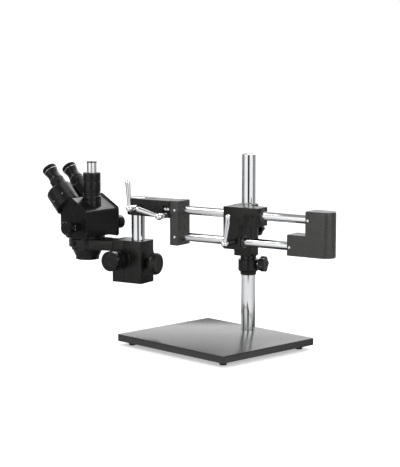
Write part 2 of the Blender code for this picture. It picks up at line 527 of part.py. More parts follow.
def build_photo_port():
    at = (PORT_X, 0, 0)
    tube = [(PORT_R - 1, PORT_TOP), (PORT_R, PORT_TOP - 1), (PORT_R, 326), (PORT_R - 0.8, 325)]
    tube += [(PORT_R - 0.8, 317), (PORT_R + 0.8, 316), (PORT_R + 0.8, PORT_BOTTOM), (8, PORT_BOTTOM)]
    tube += [(8, 300), (PHOTOTUBE_R + GAP, 300), (PHOTOTUBE_R + GAP, PORT_TOP)]
    port = turned("port_tube", tube, PAINT, head_axis, at, steps=24, ring=True)
    heading = radians(-128)
    outward = (cos(heading), sin(heading), 0)
    drill(port, "port_screw_hole", 2.4, PHOTOTUBE_R - 3, 30, head_axis, (PORT_X, 0, 321), outward, 12)
    screw = [(0, 21.3), (2.0, 21.0), (2.0, PHOTOTUBE_R + 0.6), (0, PHOTOTUBE_R + 0.6)]
    turned("port_screw", screw, CHROME, head_axis, (PORT_X, 0, 321), outward, 12)
    sleeve("phototube", PHOTOTUBE_R, 9.6, 300 + GAP, PHOTOTUBE_TOP, CHROME, head_axis, at, steps=28)
    cap = [(0, 398), (12.3, 398), (12.8, 397.5), (12.8, PHOTOTUBE_TOP + GAP), (9.3, PHOTOTUBE_TOP + GAP)]
    cap += [(9.3, 388), (0, 388)]
    turned("dust_cap", cap, PLASTIC, head_axis, at, steps=28)


def build_eye(name, side):
    """One prism house and its eyepiece; side is -1 for the left eye and 1 for the right."""
    base = (HOUSE_BASE_X, side * HOUSE_Y, HOUSE_BASE_Z)
    frame = axis_frame(f"eye_axis_{name}", head_axis, base, 0.0, EYE_TILT)
    flat_r, shoulder_z = HOUSE_R - HOUSE_SHOULDER, HOUSE_LENGTH - HOUSE_SHOULDER
    shoulder = [(flat_r + HOUSE_SHOULDER * sin(radians(a)), shoulder_z + HOUSE_SHOULDER * cos(radians(a)))
                for a in (30, 60, 90)]
    profile = [(0, HOUSE_LENGTH), (flat_r, HOUSE_LENGTH)] + shoulder + [(HOUSE_R, 0), (0, 0)]
    house = turned(f"prism_house_{name}", profile, PAINT, frame, steps=28)
    at = (EYE_OFFSET, side * EYE_OUTWARD, 0)
    drill(house, f"eye_bore_{name}", EYE_SLEEVE_R + GAP, HOUSE_LENGTH - 24, 80, frame, at, (0, 0, 1))
    base, sleeve_end = HOUSE_LENGTH + GAP, HOUSE_LENGTH - 23
    profile = [(16.0, EYE_END), (18.0, EYE_END - 1.5), (18.0, EYE_END - 10), (16.6, EYE_END - 11)]
    profile += [(14.4, EYE_END - 24), (15.6, EYE_END - 36), (17.4, EYE_END - 42)]
    profile += [(17.4, base), (EYE_SLEEVE_R, base), (EYE_SLEEVE_R, sleeve_end)]
    profile += [(9.5, sleeve_end), (9.5, HOUSE_LENGTH), (0, HOUSE_LENGTH)]
    cup = [(0, EYE_END - 4.0), (11.0, EYE_END - 3.5), (13.0, EYE_END)]
    turned(f"eyepiece_{name}", cup + profile, PLASTIC, frame, at, steps=24)


build_stand()
build_collar()
build_cross_block()
build_boom()
build_arm()
build_post()
build_focus_block()
build_ring()
build_head()
build_photo_port()
build_eye("left", -1)
build_eye("right", 1)
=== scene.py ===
"""Stereo microscope on a double-arm boom stand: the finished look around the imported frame.

Sizes in the code are millimetres, in local frames read from the record's joints and the CAD nodes' boxes.
The shape helpers turn them into metres.
"""
import json
from math import cos, pi, radians, sin, tan

import bmesh
import bpy
from mathutils import Matrix, Vector


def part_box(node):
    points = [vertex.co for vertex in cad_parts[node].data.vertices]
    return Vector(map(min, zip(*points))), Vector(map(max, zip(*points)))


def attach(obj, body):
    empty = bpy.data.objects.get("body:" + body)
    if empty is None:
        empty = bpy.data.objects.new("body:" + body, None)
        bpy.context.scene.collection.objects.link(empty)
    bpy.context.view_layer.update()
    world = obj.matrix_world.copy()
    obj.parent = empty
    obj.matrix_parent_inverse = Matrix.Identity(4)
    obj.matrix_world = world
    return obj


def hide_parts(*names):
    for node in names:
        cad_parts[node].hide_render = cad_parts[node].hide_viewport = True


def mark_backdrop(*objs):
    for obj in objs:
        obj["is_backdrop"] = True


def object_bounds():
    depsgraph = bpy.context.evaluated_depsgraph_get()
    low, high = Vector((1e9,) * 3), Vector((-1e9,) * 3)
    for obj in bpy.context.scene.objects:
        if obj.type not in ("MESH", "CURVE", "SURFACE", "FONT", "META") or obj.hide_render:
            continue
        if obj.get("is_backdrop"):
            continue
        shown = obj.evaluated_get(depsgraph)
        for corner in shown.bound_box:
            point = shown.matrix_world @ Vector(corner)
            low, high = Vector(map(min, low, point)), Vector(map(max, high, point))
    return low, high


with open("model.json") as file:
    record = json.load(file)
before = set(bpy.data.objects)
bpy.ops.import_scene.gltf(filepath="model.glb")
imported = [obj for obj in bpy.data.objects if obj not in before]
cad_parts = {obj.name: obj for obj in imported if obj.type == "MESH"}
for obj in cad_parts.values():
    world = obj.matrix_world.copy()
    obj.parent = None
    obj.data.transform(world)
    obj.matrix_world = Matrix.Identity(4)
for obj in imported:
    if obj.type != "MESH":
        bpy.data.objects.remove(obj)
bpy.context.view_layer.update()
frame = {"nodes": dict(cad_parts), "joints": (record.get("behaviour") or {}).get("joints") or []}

MM = 0.001
UP = Vector((0, 0, 1))
GAP = 0.3  # clearance between neighbouring pieces
POLE_BORE, RAIL_BORE, SPIGOT_BORE = 16.3, 10.3, 7.3  # pole and post, rails, tilt pivot
LEVER_BORE, SHAFT_BORE = 4.1, 4.8  # ball lever studs, focus shaft
UPRIGHT = (0, 0, 0), (0, 0, 1)  # a frame's own axis
JOINTS = {joint["name"]: joint for joint in frame["joints"]}


# ---- frames from the record
def axes(origin, x_axis, z_axis=UP):
    """A frame at a point, in metres, from its Z direction and a guide for its X direction."""
    z_axis = Vector(z_axis).normalized()
    y_axis = z_axis.cross(Vector(x_axis)).normalized()
    matrix = Matrix((y_axis.cross(z_axis), y_axis, z_axis)).transposed().to_4x4()
    matrix.translation = origin
    return matrix


def on_floor(joint):
    x, y, _ = JOINTS[joint]["pos_m"]
    return Vector((x, y, 0.0))


def direction(joint):
    return Vector(JOINTS[joint]["axis"]).normalized()


def local(base, at=(0, 0, 0), z_axis=(0, 0, 1), x_axis=None):
    """A frame at a local point, in millimetres, of another one, with its Z along a local direction."""
    z_axis = Vector(z_axis)
    if x_axis is None:
        x_axis = (1, 0, 0) if abs(z_axis.normalized().x) < 0.9 else (0, 1, 0)
    return base @ axes(Vector(at) * MM, x_axis, z_axis)


def spot(joint, base):
    """A joint's point in a local frame, in millimetres."""
    return base.inverted() @ Vector(JOINTS[joint]["pos_m"]) / MM


def extent(node, base):
    """Lowest and highest corner of a CAD node in a local frame, in millimetres."""
    inverse = base.inverted()
    points = [inverse @ v.co / MM for v in frame["nodes"][node].data.vertices]
    return [Vector([pick(p[i] for p in points) for i in range(3)]) for pick in (min, max)]


STAND = axes(on_floor("block_swivel"), (1, 0, 0))
BOOM = axes(on_floor("block_swivel"), direction("boom_slide"))
FOCUS = axes(on_floor("focus_swivel"), direction("post_clamp_turn"))
HEAD = axes(on_floor("head_turn"), direction("zoom_turn").cross(UP))
EYES = {}
for side in ("left", "right"):
    turn = f"prism_{side}_turn"
    EYES[side] = axes(Vector(JOINTS[turn]["pos_m"]), HEAD.to_3x3() @ Vector((1, 0, 0)), direction(turn))


# ---- outlines and profiles
def rounded(points, radius, steps=5, closed=True):
    """Round the corners of an outline; radius is one number, or one for each point."""
    count = len(points)
    radii = radius if isinstance(radius, (list, tuple)) else [radius] * count
    made = []
    for i, point in enumerate(points):
        corner = Vector(point)
        inner = closed or 0 < i < count - 1
        if not inner or radii[i] <= 0:
            made.append(tuple(corner))
            continue
        before = Vector(points[i - 1]) - corner
        after = Vector(points[(i + 1) % count]) - corner
        half = before.angle(after) / 2
        if half > radians(89):
            made.append(tuple(corner))
            continue
        run = min(radii[i] / tan(half), 0.48 * before.length, 0.48 * after.length)
        reach = run * tan(half)
        start, end = corner + before.normalized() * run, corner + after.normalized() * run
        middle = corner + (before.normalized() + after.normalized()).normalized() * (reach / sin(half))
        first, last = start - middle, end - middle
        sweep = first.angle_signed(last)
        for k in range(steps + 1):
            spoke = first.copy()
            spoke.rotate(Matrix.Rotation(-sweep * k / steps, 2))
            made.append(tuple(middle + spoke))
    return made


def soften(profile, radius, steps=3):
    """Round the inner corners of an open profile."""
    return rounded(profile, radius, steps, False)


def inset(points, distance):
    """Move a counter-clockwise outline inwards."""
    count = len(points)
    made = []
    for i, point in enumerate(points):
        here = Vector(point)
        along_in = (here - Vector(points[i - 1])).normalized()
        along_out = (Vector(points[(i + 1) % count]) - here).normalized()
        normal_in = Vector((-along_in.y, along_in.x))
        normal_out = Vector((-along_out.y, along_out.x))
        made.append(tuple(here + (normal_in + normal_out) * distance / (1 + normal_in.dot(normal_out))))
    return made


def rectangle(low, high):
    return [(low[0], low[1]), (high[0], low[1]), (high[0], high[1]), (low[0], high[1])]


def chamfered(radius, low, high, cut):
    """The profile of a round bar with chamfered ends."""
    return [(0, high), (radius - cut, high), (radius, high - cut),
            (radius, low + cut), (radius - cut, low), (0, low)]


def below(top, rows):
    """A profile whose heights are given downwards from its top."""
    return [(radius, top - drop, *flute) for radius, drop, *flute in rows]


def bow(centre, radius, start, end, count):
    angles = [radians(start + (end - start) * i / count) for i in range(count + 1)]
    return [(centre[0] + radius * cos(a), centre[1] + radius * sin(a)) for a in angles]


# ---- solids
def settle(obj):
    """Smooth shading, with the sharper edges kept crisp."""
    crisp_above = radians(32)
    obj.data.shade_smooth()
    obj.data.set_sharp_from_angle(angle=crisp_above)
    return obj


def solid(name, shape, base):
    """A mesh object from a bmesh in millimetres."""
    bmesh.ops.remove_doubles(shape, verts=shape.verts, dist=0.0005)
    bmesh.ops.recalc_face_normals(shape, faces=shape.faces)
    bmesh.ops.scale(shape, vec=(MM, MM, MM), verts=shape.verts)
    mesh = bpy.data.meshes.new(name)
    shape.to_mesh(mesh)
    shape.free()
    obj = bpy.data.objects.new(name, mesh)
    bpy.context.scene.collection.objects.link(obj)
    obj.matrix_world = base
    return settle(obj)


def lathe(name, profile, base, steps, ring=False, flutes=0, twist=0.0):
    """Turn a profile of (radius, height) or (radius, height, flute depth) about the frame's Z."""
    shape = bmesh.new()
    rows = []
    for radius, height, *depth in profile:
        if radius < 1e-6:
            rows.append([shape.verts.new((0, 0, height))] * steps)
            continue
        row = []
        for i in range(steps):
            angle = 2 * pi * i / steps + twist
            reach = radius - (depth[0] * (0.5 + 0.5 * cos(flutes * angle)) if depth else 0)
            row.append(shape.verts.new((reach * cos(angle), reach * sin(angle), height)))
        rows.append(row)
    pairs = list(zip(rows, rows[1:])) + ([(rows[-1], rows[0])] if ring else [])
    for upper, lower in pairs:
        for i in range(steps):
            j = (i + 1) % steps
            corners = []
            for vert in (upper[i], upper[j], lower[j], lower[i]):
                if vert not in corners:
                    corners.append(vert)
            if len(corners) > 2:
                shape.faces.new(corners)
    return solid(name, shape, base)


def slab(name, points, low, high, base, edge, steps=3):
    """A counter-clockwise outline given thickness, with rounded rims."""
    levels = [(0.0, low), (0.0, high)]
    if edge:
        turns = [radians(90 * k / steps) for k in range(steps + 1)]
        levels = [(edge * (1 - sin(a)), low + edge * (1 - cos(a))) for a in turns]
        levels += [(edge * (1 - cos(a)), high - edge * (1 - sin(a))) for a in turns]
    shape = bmesh.new()
    rows = [[shape.verts.new((x, y, z)) for x, y in (inset(points, d) if d else points)] for d, z in levels]
    for lower, upper in zip(rows, rows[1:]):
        for i in range(len(points)):
            j = (i + 1) % len(points)
            shape.faces.new((lower[i], lower[j], upper[j], upper[i]))
    shape.faces.new(list(reversed(rows[0])))
    shape.faces.new(rows[-1])
    return solid(name, shape, base)


def star(name, radius, lobes, low, high, base):
    """A lobed knob with rounded rims."""
    depth, edge, count = 0.16, 2.2, lobes * 20
    points = []
    for i in range(count):
        angle = 2 * pi * i / count
        reach = radius * (1 - depth / 2 + depth / 2 * cos(lobes * angle))
        points.append((reach * cos(angle), reach * sin(angle)))
    return slab(name, points, low, high, base, edge, 5)


def bar(radius, low, high, base, steps=64):
    """A plain round tool for boring; its twist keeps the facets of tools on one axis from lining up."""
    profile = [(0, high), (radius, high), (radius, low), (0, low)]
    return lathe("tool", profile, base, steps, twist=radius * 0.03)


def box_tool(low, high, base):
    return slab("tool", rectangle(low, high), low[2], high[2], base, 0)


def socket_tool(radius, low, high, base):
    """A six-sided socket."""
    return slab("tool", bow((0, 0), radius, 0, 300, 5), low, high, base, 0)


def carve(obj, tools, operation="DIFFERENCE"):
    """Apply boolean tools to a piece, and take the tools away."""
    for tool in tools:
        boolean = obj.modifiers.new("carve", "BOOLEAN")
        boolean.operation = operation
        boolean.solver = "EXACT"
        boolean.object = tool
    bpy.context.view_layer.update()
    mesh = bpy.data.meshes.new_from_object(obj.evaluated_get(bpy.context.evaluated_depsgraph_get()))
    obj.modifiers.clear()
    obj.data = mesh
    mend(mesh)
    for tool in tools:
        bpy.data.objects.remove(tool, do_unlink=True)
    return settle(obj)


def mend(mesh):
    """Merge the sliver vertices a boolean leaves, and close any pinhole."""
    shape = bmesh.new()
    shape.from_mesh(mesh)
    bmesh.ops.remove_doubles(shape, verts=shape.verts, dist=0.002 * MM)
    bmesh.ops.dissolve_degenerate(shape, edges=shape.edges, dist=0.001 * MM)
    open_edges = [edge for edge in shape.edges if len(edge.link_faces) == 1]
    if open_edges:
        bmesh.ops.holes_fill(shape, edges=open_edges, sides=0)
    bmesh.ops.recalc_face_normals(shape, faces=shape.faces)
    shape.to_mesh(mesh)
    shape.free()


def fuse(obj, parts):
    return carve(obj, parts, "UNION")


# ---- materials
def tone(*rgb):
    return (*rgb, 1.0)


def add_node(tree, kind, inputs=(), **settings):
    """A shader node; each input is a value, or the socket that feeds it."""
    node = tree.nodes.new(kind)
    for key, value in settings.items():
        setattr(node, key, value)
    for key, value in dict(inputs).items():
        if isinstance(value, bpy.types.NodeSocket):
            tree.links.new(value, node.inputs[key])
        else:
            node.inputs[key].default_value = value
    return node


class Recipe:
    """A Principled material whose colour, roughness and bump come from procedural nodes."""

    def __init__(self, name):
        self.material = bpy.data.materials.new(name)
        self.material.use_nodes = True
        self.tree = self.material.node_tree
        self.shader = self.tree.nodes["Principled BSDF"]
        self.coords = self.add("ShaderNodeTexCoord").outputs["Object"]

    def add(self, kind, inputs=(), **settings):
        return add_node(self.tree, kind, inputs, **settings)

    def math(self, operation, first, second):
        return self.add("ShaderNodeMath", {0: first, 1: second}, operation=operation).outputs[0]

    def vector(self, operation, first, second=(0, 0, 0), output="Vector"):
        return self.add("ShaderNodeVectorMath", {0: first, 1: second}, operation=operation).outputs[output]

    def noise(self, scale, detail=3.0, rough=0.55, vector=None):
        made = self.add("ShaderNodeTexNoise", {"Vector": vector or self.coords, "Scale": scale,
                                               "Detail": detail, "Roughness": rough})
        return made.outputs["Fac"]

    def span(self, value, low, high, source=(0.3, 0.7)):
        made = self.add("ShaderNodeMapRange", {"Value": value, "From Min": source[0], "From Max": source[1],
                                               "To Min": low, "To Max": high})
        return made.outputs["Result"]

    def blend(self, factor, first, second):
        return self.add("ShaderNodeMix", {0: factor, 6: first, 7: second}, data_type="RGBA").outputs[2]

    def rings(self, scale):
        """Noise that runs round the piece's own axis, as tool marks do."""
        stretched = 0.02
        parts = self.add("ShaderNodeSeparateXYZ", {0: self.coords})
        squares = [self.math("MULTIPLY", parts.outputs[i], parts.outputs[i]) for i in (0, 1)]
        radius = self.math("POWER", self.math("ADD", *squares), 0.5)
        turn = self.math("MULTIPLY", parts.outputs[0], stretched)
        joined = self.add("ShaderNodeCombineXYZ", {0: radius, 1: parts.outputs[2], 2: turn}).outputs[0]
        return self.noise(scale, 2.0, 0.6, joined)

    def edge_mask(self, radius):
        """1 on convex edges, from the difference between the rounded and the plain normal."""
        soft = self.add("ShaderNodeBevel", {"Radius": radius}, samples=4).outputs[0]
        plain = self.add("ShaderNodeNewGeometry").outputs["Normal"]
        same = self.vector("DOT_PRODUCT", soft, plain, "Value")
        return self.span(same, 1.0, 0.0, (0.75, 0.98))

    def bump(self, height, distance, strength, rounding=0.0):
        inputs = {"Height": height, "Distance": distance, "Strength": strength}
        if rounding:
            inputs["Normal"] = self.add("ShaderNodeBevel", {"Radius": rounding}, samples=4).outputs[0]
        self.tree.links.new(self.add("ShaderNodeBump", inputs).outputs[0], self.shader.inputs["Normal"])

    def shades(self, scale, dark, light):
        """A colour that drifts between two shades."""
        return self.blend(self.span(self.noise(scale), 0.0, 1.0), tone(*dark), tone(*light))

    def colour(self, socket):
        self.tree.links.new(socket, self.shader.inputs["Base Color"])

    def roughness(self, scale, low, high, detail=4.0):
        self.tree.links.new(self.span(self.noise(scale, detail), low, high), self.shader.inputs["Roughness"])

    def fixed(self, **values):
        for key, value in values.items():
            self.shader.inputs[key.replace("_", " ")].default_value = value
        return self.material


def enamel(name, dark, light, rough, peel=0.000006, grain=260.0, wear=0.25, gloss=0.25):
    """Satin black enamel: faint mottling, orange peel and slightly paler worn edges."""
    mottle, smudges, scuffs = 38.0, 90.0, 160.0  # noise scales, per metre
    worn, rounding, brighter = 0.0007, 0.0006, 4.0  # widths in metres, and how much paler worn paint is
    recipe = Recipe(name)
    scuffed = tone(*[brighter * c for c in light])
    edge = recipe.math("MULTIPLY", recipe.edge_mask(worn), wear)
    patchy = recipe.math("MULTIPLY", edge, recipe.span(recipe.noise(scuffs), 0.1, 1.0))
    recipe.colour(recipe.blend(patchy, recipe.shades(mottle, dark, light), scuffed))
    recipe.roughness(smudges, rough - 0.03, rough + 0.04)
    recipe.bump(recipe.noise(grain, 2.0), peel, 0.5, rounding)
    return recipe.fixed(IOR=1.5, Specular_IOR_Level=gloss)


def plated(name, dark, light, rough_low, rough_high, marks=0.000004):
    """Bright plate over turned bar: a faint haze and fine tool marks."""
    tint, haze, turning = 30.0, 70.0, 1500.0  # noise scales, per metre
    recipe = Recipe(name)
    recipe.colour(recipe.shades(tint, dark, light))
    recipe.roughness(haze, rough_low, rough_high)
    recipe.bump(recipe.rings(turning), marks, 0.5)
    return recipe.fixed(Metallic=1.0)


def moulded(name, dark, light, rough, grain, depth, gloss=0.25):
    """Moulded plastic or rubber with a fine grain."""
    tint, haze, rounding = 55.0, 120.0, 0.0004  # noise scales per metre, and a width in metres
    recipe = Recipe(name)
    recipe.colour(recipe.shades(tint, dark, light))
    recipe.roughness(haze, rough - 0.05, rough + 0.06)
    recipe.bump(recipe.noise(grain, 3.0, 0.7), depth, 0.7, rounding)
    return recipe.fixed(IOR=1.5, Specular_IOR_Level=gloss)


def lens_glass(name):
    """Dark coated glass, a little uneven in its tint."""
    blue, violet = (0.012, 0.018, 0.035), (0.02, 0.012, 0.04)
    tint, haze, ripple = 45.0, 200.0, 60.0  # noise scales, per metre
    recipe = Recipe(name)
    recipe.colour(recipe.shades(tint, blue, violet))
    recipe.roughness(haze, 0.02, 0.05, 3.0)
    recipe.bump(recipe.noise(ripple), 0.000003, 0.3)
    return recipe.fixed(IOR=1.6, Coat_Weight=0.6)


CASTING = enamel("casting_enamel", (0.0075, 0.0074, 0.0066), (0.0105, 0.0103, 0.0092), 0.26)
WEIGHT = enamel("weight_enamel", (0.030, 0.0295, 0.027), (0.037, 0.0365, 0.033), 0.28, 0.000002, gloss=0.4)
HEAD_PAINT = enamel("head_enamel", (0.0055, 0.0055, 0.0052), (0.0080, 0.0080, 0.0075), 0.24, wear=0.15)
PLATE = enamel("plate_enamel", (0.011, 0.011, 0.010), (0.015, 0.015, 0.014), 0.17, 0.0000015, 420.0,
               gloss=0.5)
CHROME = plated("bright_chrome", (0.80, 0.81, 0.83), (0.86, 0.87, 0.88), 0.05, 0.09)
SATIN = plated("satin_chrome", (0.80, 0.81, 0.83), (0.86, 0.87, 0.88), 0.24, 0.30)
STEEL = plated("turned_steel", (0.42, 0.42, 0.43), (0.55, 0.55, 0.56), 0.24, 0.36, 0.00002)
KNOB = moulded("knob_plastic", (0.005, 0.005, 0.005), (0.008, 0.008, 0.0075), 0.17, 900.0, 0.000003)
EYE_PLASTIC = moulded("eyepiece_plastic", (0.004, 0.004, 0.0038), (0.007, 0.007, 0.0065), 0.27, 900.0,
                      0.000006)
RUBBER = moulded("soft_rubber", (0.003, 0.003, 0.003), (0.006, 0.006, 0.0055), 0.52, 1500.0, 0.00002,
                 gloss=0.1)
GLASS = lens_glass("coated_glass")
MARKS = moulded("white_marks", (0.62, 0.62, 0.60), (0.72, 0.72, 0.70), 0.5, 900.0, 0.00001)


def fit(obj, body, material, *nodes):
    """Finish a piece: its material, the body it rides on and the CAD nodes it stands for."""
    obj.data.materials.clear()
    obj.data.materials.append(material)
    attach(obj, body)
    if nodes:
        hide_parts(*nodes)


# ---- small parts
def socket_screw(name, radius, length, base, body, material, *nodes, proud=0.0, socket=1.5):
    """A screw whose outer end is at the frame's origin, with a six-sided socket."""
    profile = soften([(0, proud), (radius, proud), (radius, -length), (0, -length)], 0.35)
    screw = lathe(name, profile, base, 36)
    carve(screw, [socket_tool(socket, proud - 2.2, proud + 1, base)])
    fit(screw, body, material, *nodes)


def bored(tools_base, *holes):
    """Boring tools: each hole is (radius, low, high, point, axis)."""
    return [bar(radius, low, high, local(tools_base, at, axis)) for radius, low, high, at, axis in holes]


# ---- stand
def make_stand():
    low, high = extent("base_plate", STAND)
    plate = slab("plate", rounded(rectangle(low, high), 3.0, 4), low.z, high.z, STAND, 1.2)
    pole_low, pole_high = extent("pole", STAND)
    radius = pole_high.x
    screw_r, sink_r, sink = 5.2, 9.0, 6.5
    carve(plate, bored(STAND, (radius + GAP, pole_low.z - 0.2, high.z + 5, *UPRIGHT),
                       (screw_r, low.z - 2, pole_low.z + 2, *UPRIGHT),
                       (sink_r, low.z - 2, low.z + sink, *UPRIGHT)))
    fit(plate, "stand", PLATE, "base_plate")
    for number in range(1, 5):
        low, high = extent(f"foot_{number}", STAND)
        middle = (low + high) / 2
        profile = [(0, 8.6), (8.6, 8.6), (9.0, 8.2), (8.0, 1.2), (7.2, 0.0)]
        profile += [(4.4, 0.0), (3.8, 0.6), (3.5, 2.5), (0, 2.5)]
        at = (middle.x, middle.y, low.z)
        foot = lathe(f"pad_{number}", soften(profile, 0.3), local(STAND, at), 40)
        fit(foot, "stand", RUBBER, f"foot_{number}")
    profile = [(0, pole_high.z), (radius - 1.5, pole_high.z), (radius, pole_high.z - 1.5)]
    profile += [(radius, pole_low.z + 1), (radius - 1, pole_low.z), (0, pole_low.z)]
    fit(lathe("pillar", soften(profile, 0.5, 4), STAND, 128), "stand", CHROME, "pole")
    finish = frame["nodes"]["pole_screw"].data.materials
    finish.clear()
    finish.append(STEEL)


def make_collar():
    low, high = extent("collar", STAND)
    knob = direction("collar_clamp_turn")
    height = JOINTS["collar_clamp_turn"]["pos_m"][2] / MM
    outer, neck, bore, step, shoulder = high.x, 18.2, POLE_BORE, 164.0, 190.0
    profile = [(bore + 0.6, high.z), (neck - 0.5, high.z), (neck, high.z - 0.5), (neck, shoulder)]
    profile += [(outer - 1.0, shoulder), (outer, shoulder - 1.0), (outer, step + 0.5)]
    profile += [(outer - 1.6, step - 1.2), (neck, step - 3), (neck, low.z + 0.8), (neck - 0.8, low.z)]
    profile += [(bore, low.z), (bore, high.z - 0.6)]
    collar = lathe("collar_ring", rounded(profile, 0.3, 3), STAND, 128, ring=True)
    carve(collar, [bar(3.8, 10, 40, local(STAND, (0, 0, height), knob))])
    fit(collar, "safety_collar", CASTING, "collar")
    base = local(STAND, (0, 0, height), knob)
    make_star_knob("collar_star", base, 30, 44, 18.5, 5, 3.5, "collar_clamp", "collar_knob")


def make_star_knob(name, base, low, high, radius, lobes, stud_r, body, node):
    """A lobed knob on a stud: a cap in a dish in its outer face, and a bright washer behind it."""
    knob = star(name, radius, lobes, low, high, base)
    dish = below(high, [(0, -1), (6.6, -1), (6.2, 1.2), (0, 1.2)])
    carve(knob, [lathe("tool", dish, base, 48)])
    back = below(low, [(0, -1), (radius * 0.5, -1), (radius * 0.5, 2.6), (radius * 0.44, 3.4), (0, 3.4)])
    fuse(knob, [lathe("tool", back, base, 48)])
    fit(knob, body, KNOB, node)
    rim, hole = radius * 0.46, stud_r + 0.05
    washer = below(low, [(rim, 3.5), (rim, 4.0), (hole, 4.0), (hole, 3.5)])
    fit(lathe(name + "_washer", washer, base, 48, ring=True), body, CHROME)
    pin = soften([(0, low - 3.45), (stud_r, low - 3.45), (stud_r, 16.6), (0, 16.6)], 0.4)
    fit(lathe(name + "_stud", pin, base, 32), body, STEEL)
    cap = soften(below(high, [(0, 0.5), (5.2, 0.7), (5.9, 1.15), (0, 1.15)]), 0.3)
    fit(lathe(name + "_cap", cap, base, 40), body, EYE_PLASTIC)


# ---- cross block
def make_cross_block():
    low, high = extent("cross_block", BOOM)
    front, left, right, top = low.y, -20.0, high.x, high.z
    step, bottom, lower_right, upper_rear = 275.0, 221.0, 22.0, -31.0
    boss_r, boss_low, boss_front = 22.8, low.z, -25.0
    height = JOINTS["block_clamp_turn"]["pos_m"][2] / MM
    corners = rounded(rectangle((left, front), (right, upper_rear)), 2.4, 4)
    block = slab("block_casting", corners, step, top, BOOM, 0.9)
    lower_plan = rounded(rectangle((left + 0.04, front + 0.04), (lower_right, boss_front + 8)), 2.4, 4)
    lower = slab("tool", lower_plan, bottom, top - 0.06, BOOM, 0.9)
    saddle_plan = rectangle((0.03 - boss_r, boss_front), (boss_r - 0.03, -0.01))
    saddle = slab("tool", saddle_plan, boss_low + 0.05, top - 0.03, BOOM, 0.9)
    rim = [(0, top), (boss_r - 1.4, top), (boss_r, top - 1.4), (boss_r, boss_low + 0.9)]
    rim += [(boss_r - 0.9, boss_low), (0, boss_low)]
    boss = lathe("tool", soften(rim, 0.4), BOOM, 96)
    fuse(block, [lower, saddle, boss])
    clamp_bore, rail_bore, bush_bore, grub_bore = 4.2, 10.9, 13.3, 3.3
    tools = bored(BOOM, (POLE_BORE, boss_low - 20, top + 20, *UPRIGHT),
                  (clamp_bore, 12, 40, (0, 0, height), (0, 1, 0)))
    mouths = {}
    for level, end in (("upper", right), ("lower", lower_right)):
        rail_low, rail_high = extent(f"rail_{level}", BOOM)
        y, z = (rail_low.y + rail_high.y) / 2, (rail_low.z + rail_high.z) / 2
        tools += bored(BOOM, (rail_bore, -60, 120, (0, y, z), (1, 0, 0)))
        for place, face, sign in (("left", left, -1), ("right", end, 1)):
            mouths[f"{level}_{place}"] = (face, y, z), (sign, 0, 0)
            tools += bored(BOOM, (bush_bore, -12.3, 5, (face, y, z), (sign, 0, 0)))
    grub_at = (58, front, 298)
    tools += bored(BOOM, (LEVER_BORE, -5, 14, spot("boom_lock_turn", BOOM), (0, 1, 0)),
                   (grub_bore, -1, 9, grub_at, (0, 1, 0)))
    carve(block, tools)
    fit(block, "cross_block", CASTING, "cross_block")
    profile = [(14.5, 1.8), (14.5, GAP), (13.0, GAP), (13.0, -12.0), (RAIL_BORE, -12.0)]
    profile += [(RAIL_BORE, 0.9), (11.2, 1.8)]
    for place, mouth in mouths.items():
        bush = lathe(f"bush_{place}", rounded(profile, 0.35, 3), local(BOOM, *mouth), 96, ring=True)
        fit(bush, "cross_block", WEIGHT, f"bushing_{place}")
    base = local(BOOM, grub_at, (0, -1, 0))
    socket_screw("block_grub", 3.0, 8.0, base, "cross_block", CASTING, "block_screw", proud=-0.2)
    base = local(BOOM, (0, 0, height), (0, 1, 0))
    make_star_knob("block_star", base, 30, 43, 19.0, 6, 3.8, "block_clamp", "block_knob")


# ---- ball levers
def make_lever(name, joint, handle, stand_off, depth, body, node, stud=None):
    """A turned ball and tapered handle on a collared stud, whose faces past the ball can take a second
    material as painted shade.

    The joint's point is where the stud enters its casting.
    """
    ball = spot(joint, BOOM) + Vector((0, -stand_off, 0))
    length, tip_r, neck_r, ball_r = 67.0, 5.95, 4.0, 8.2
    tip = [(tip_r * sin(radians(a)), length - tip_r + tip_r * cos(radians(a))) for a in range(0, 81, 10)]
    wide, shoulder, turns = tip_r + 0.12, length - 7.5, 8
    grip = tip + [(wide, shoulder)]
    grip += [(wide - (tip_r - neck_r) * t / turns, shoulder - (length - 16.5) * t / turns)
             for t in range(1, turns + 1)]
    ring = [(4.9, ball_r + 0.9), (5.0, ball_r + 0.3)]
    sphere = [(ball_r * sin(radians(a)), ball_r * cos(radians(a))) for a in range(34, 180, 8)]
    lever = lathe(name, grip + ring + sphere + [(0, -ball_r)], local(BOOM, ball, handle), 56)
    far, collar = stand_off + depth, stand_off - 3.3
    pin = [(0, far), (3.3, far), (3.7, far - 0.5), (3.7, collar), (5.7, collar), (6.2, collar - 0.5)]
    pin += [(6.2, 12.6), (5.6, 12.0), (4.3, 11.2), (4.2, 10.0), (4.2, 1.0), (0, 1.0)]
    fuse(lever, [lathe("tool", pin, local(BOOM, ball, (0, 1, 0)), 56)])
    fit(lever, body, CHROME, node)
    # painted shade: the stud's faces past the ball take the second material
    if stud:
        lever.data.materials.append(stud)
        to_boom = BOOM.inverted() @ lever.matrix_world
        for face in lever.data.polygons:
            if (to_boom @ face.center).y / MM - ball.y > ball_r + 0.4:
                face.material_index = 1


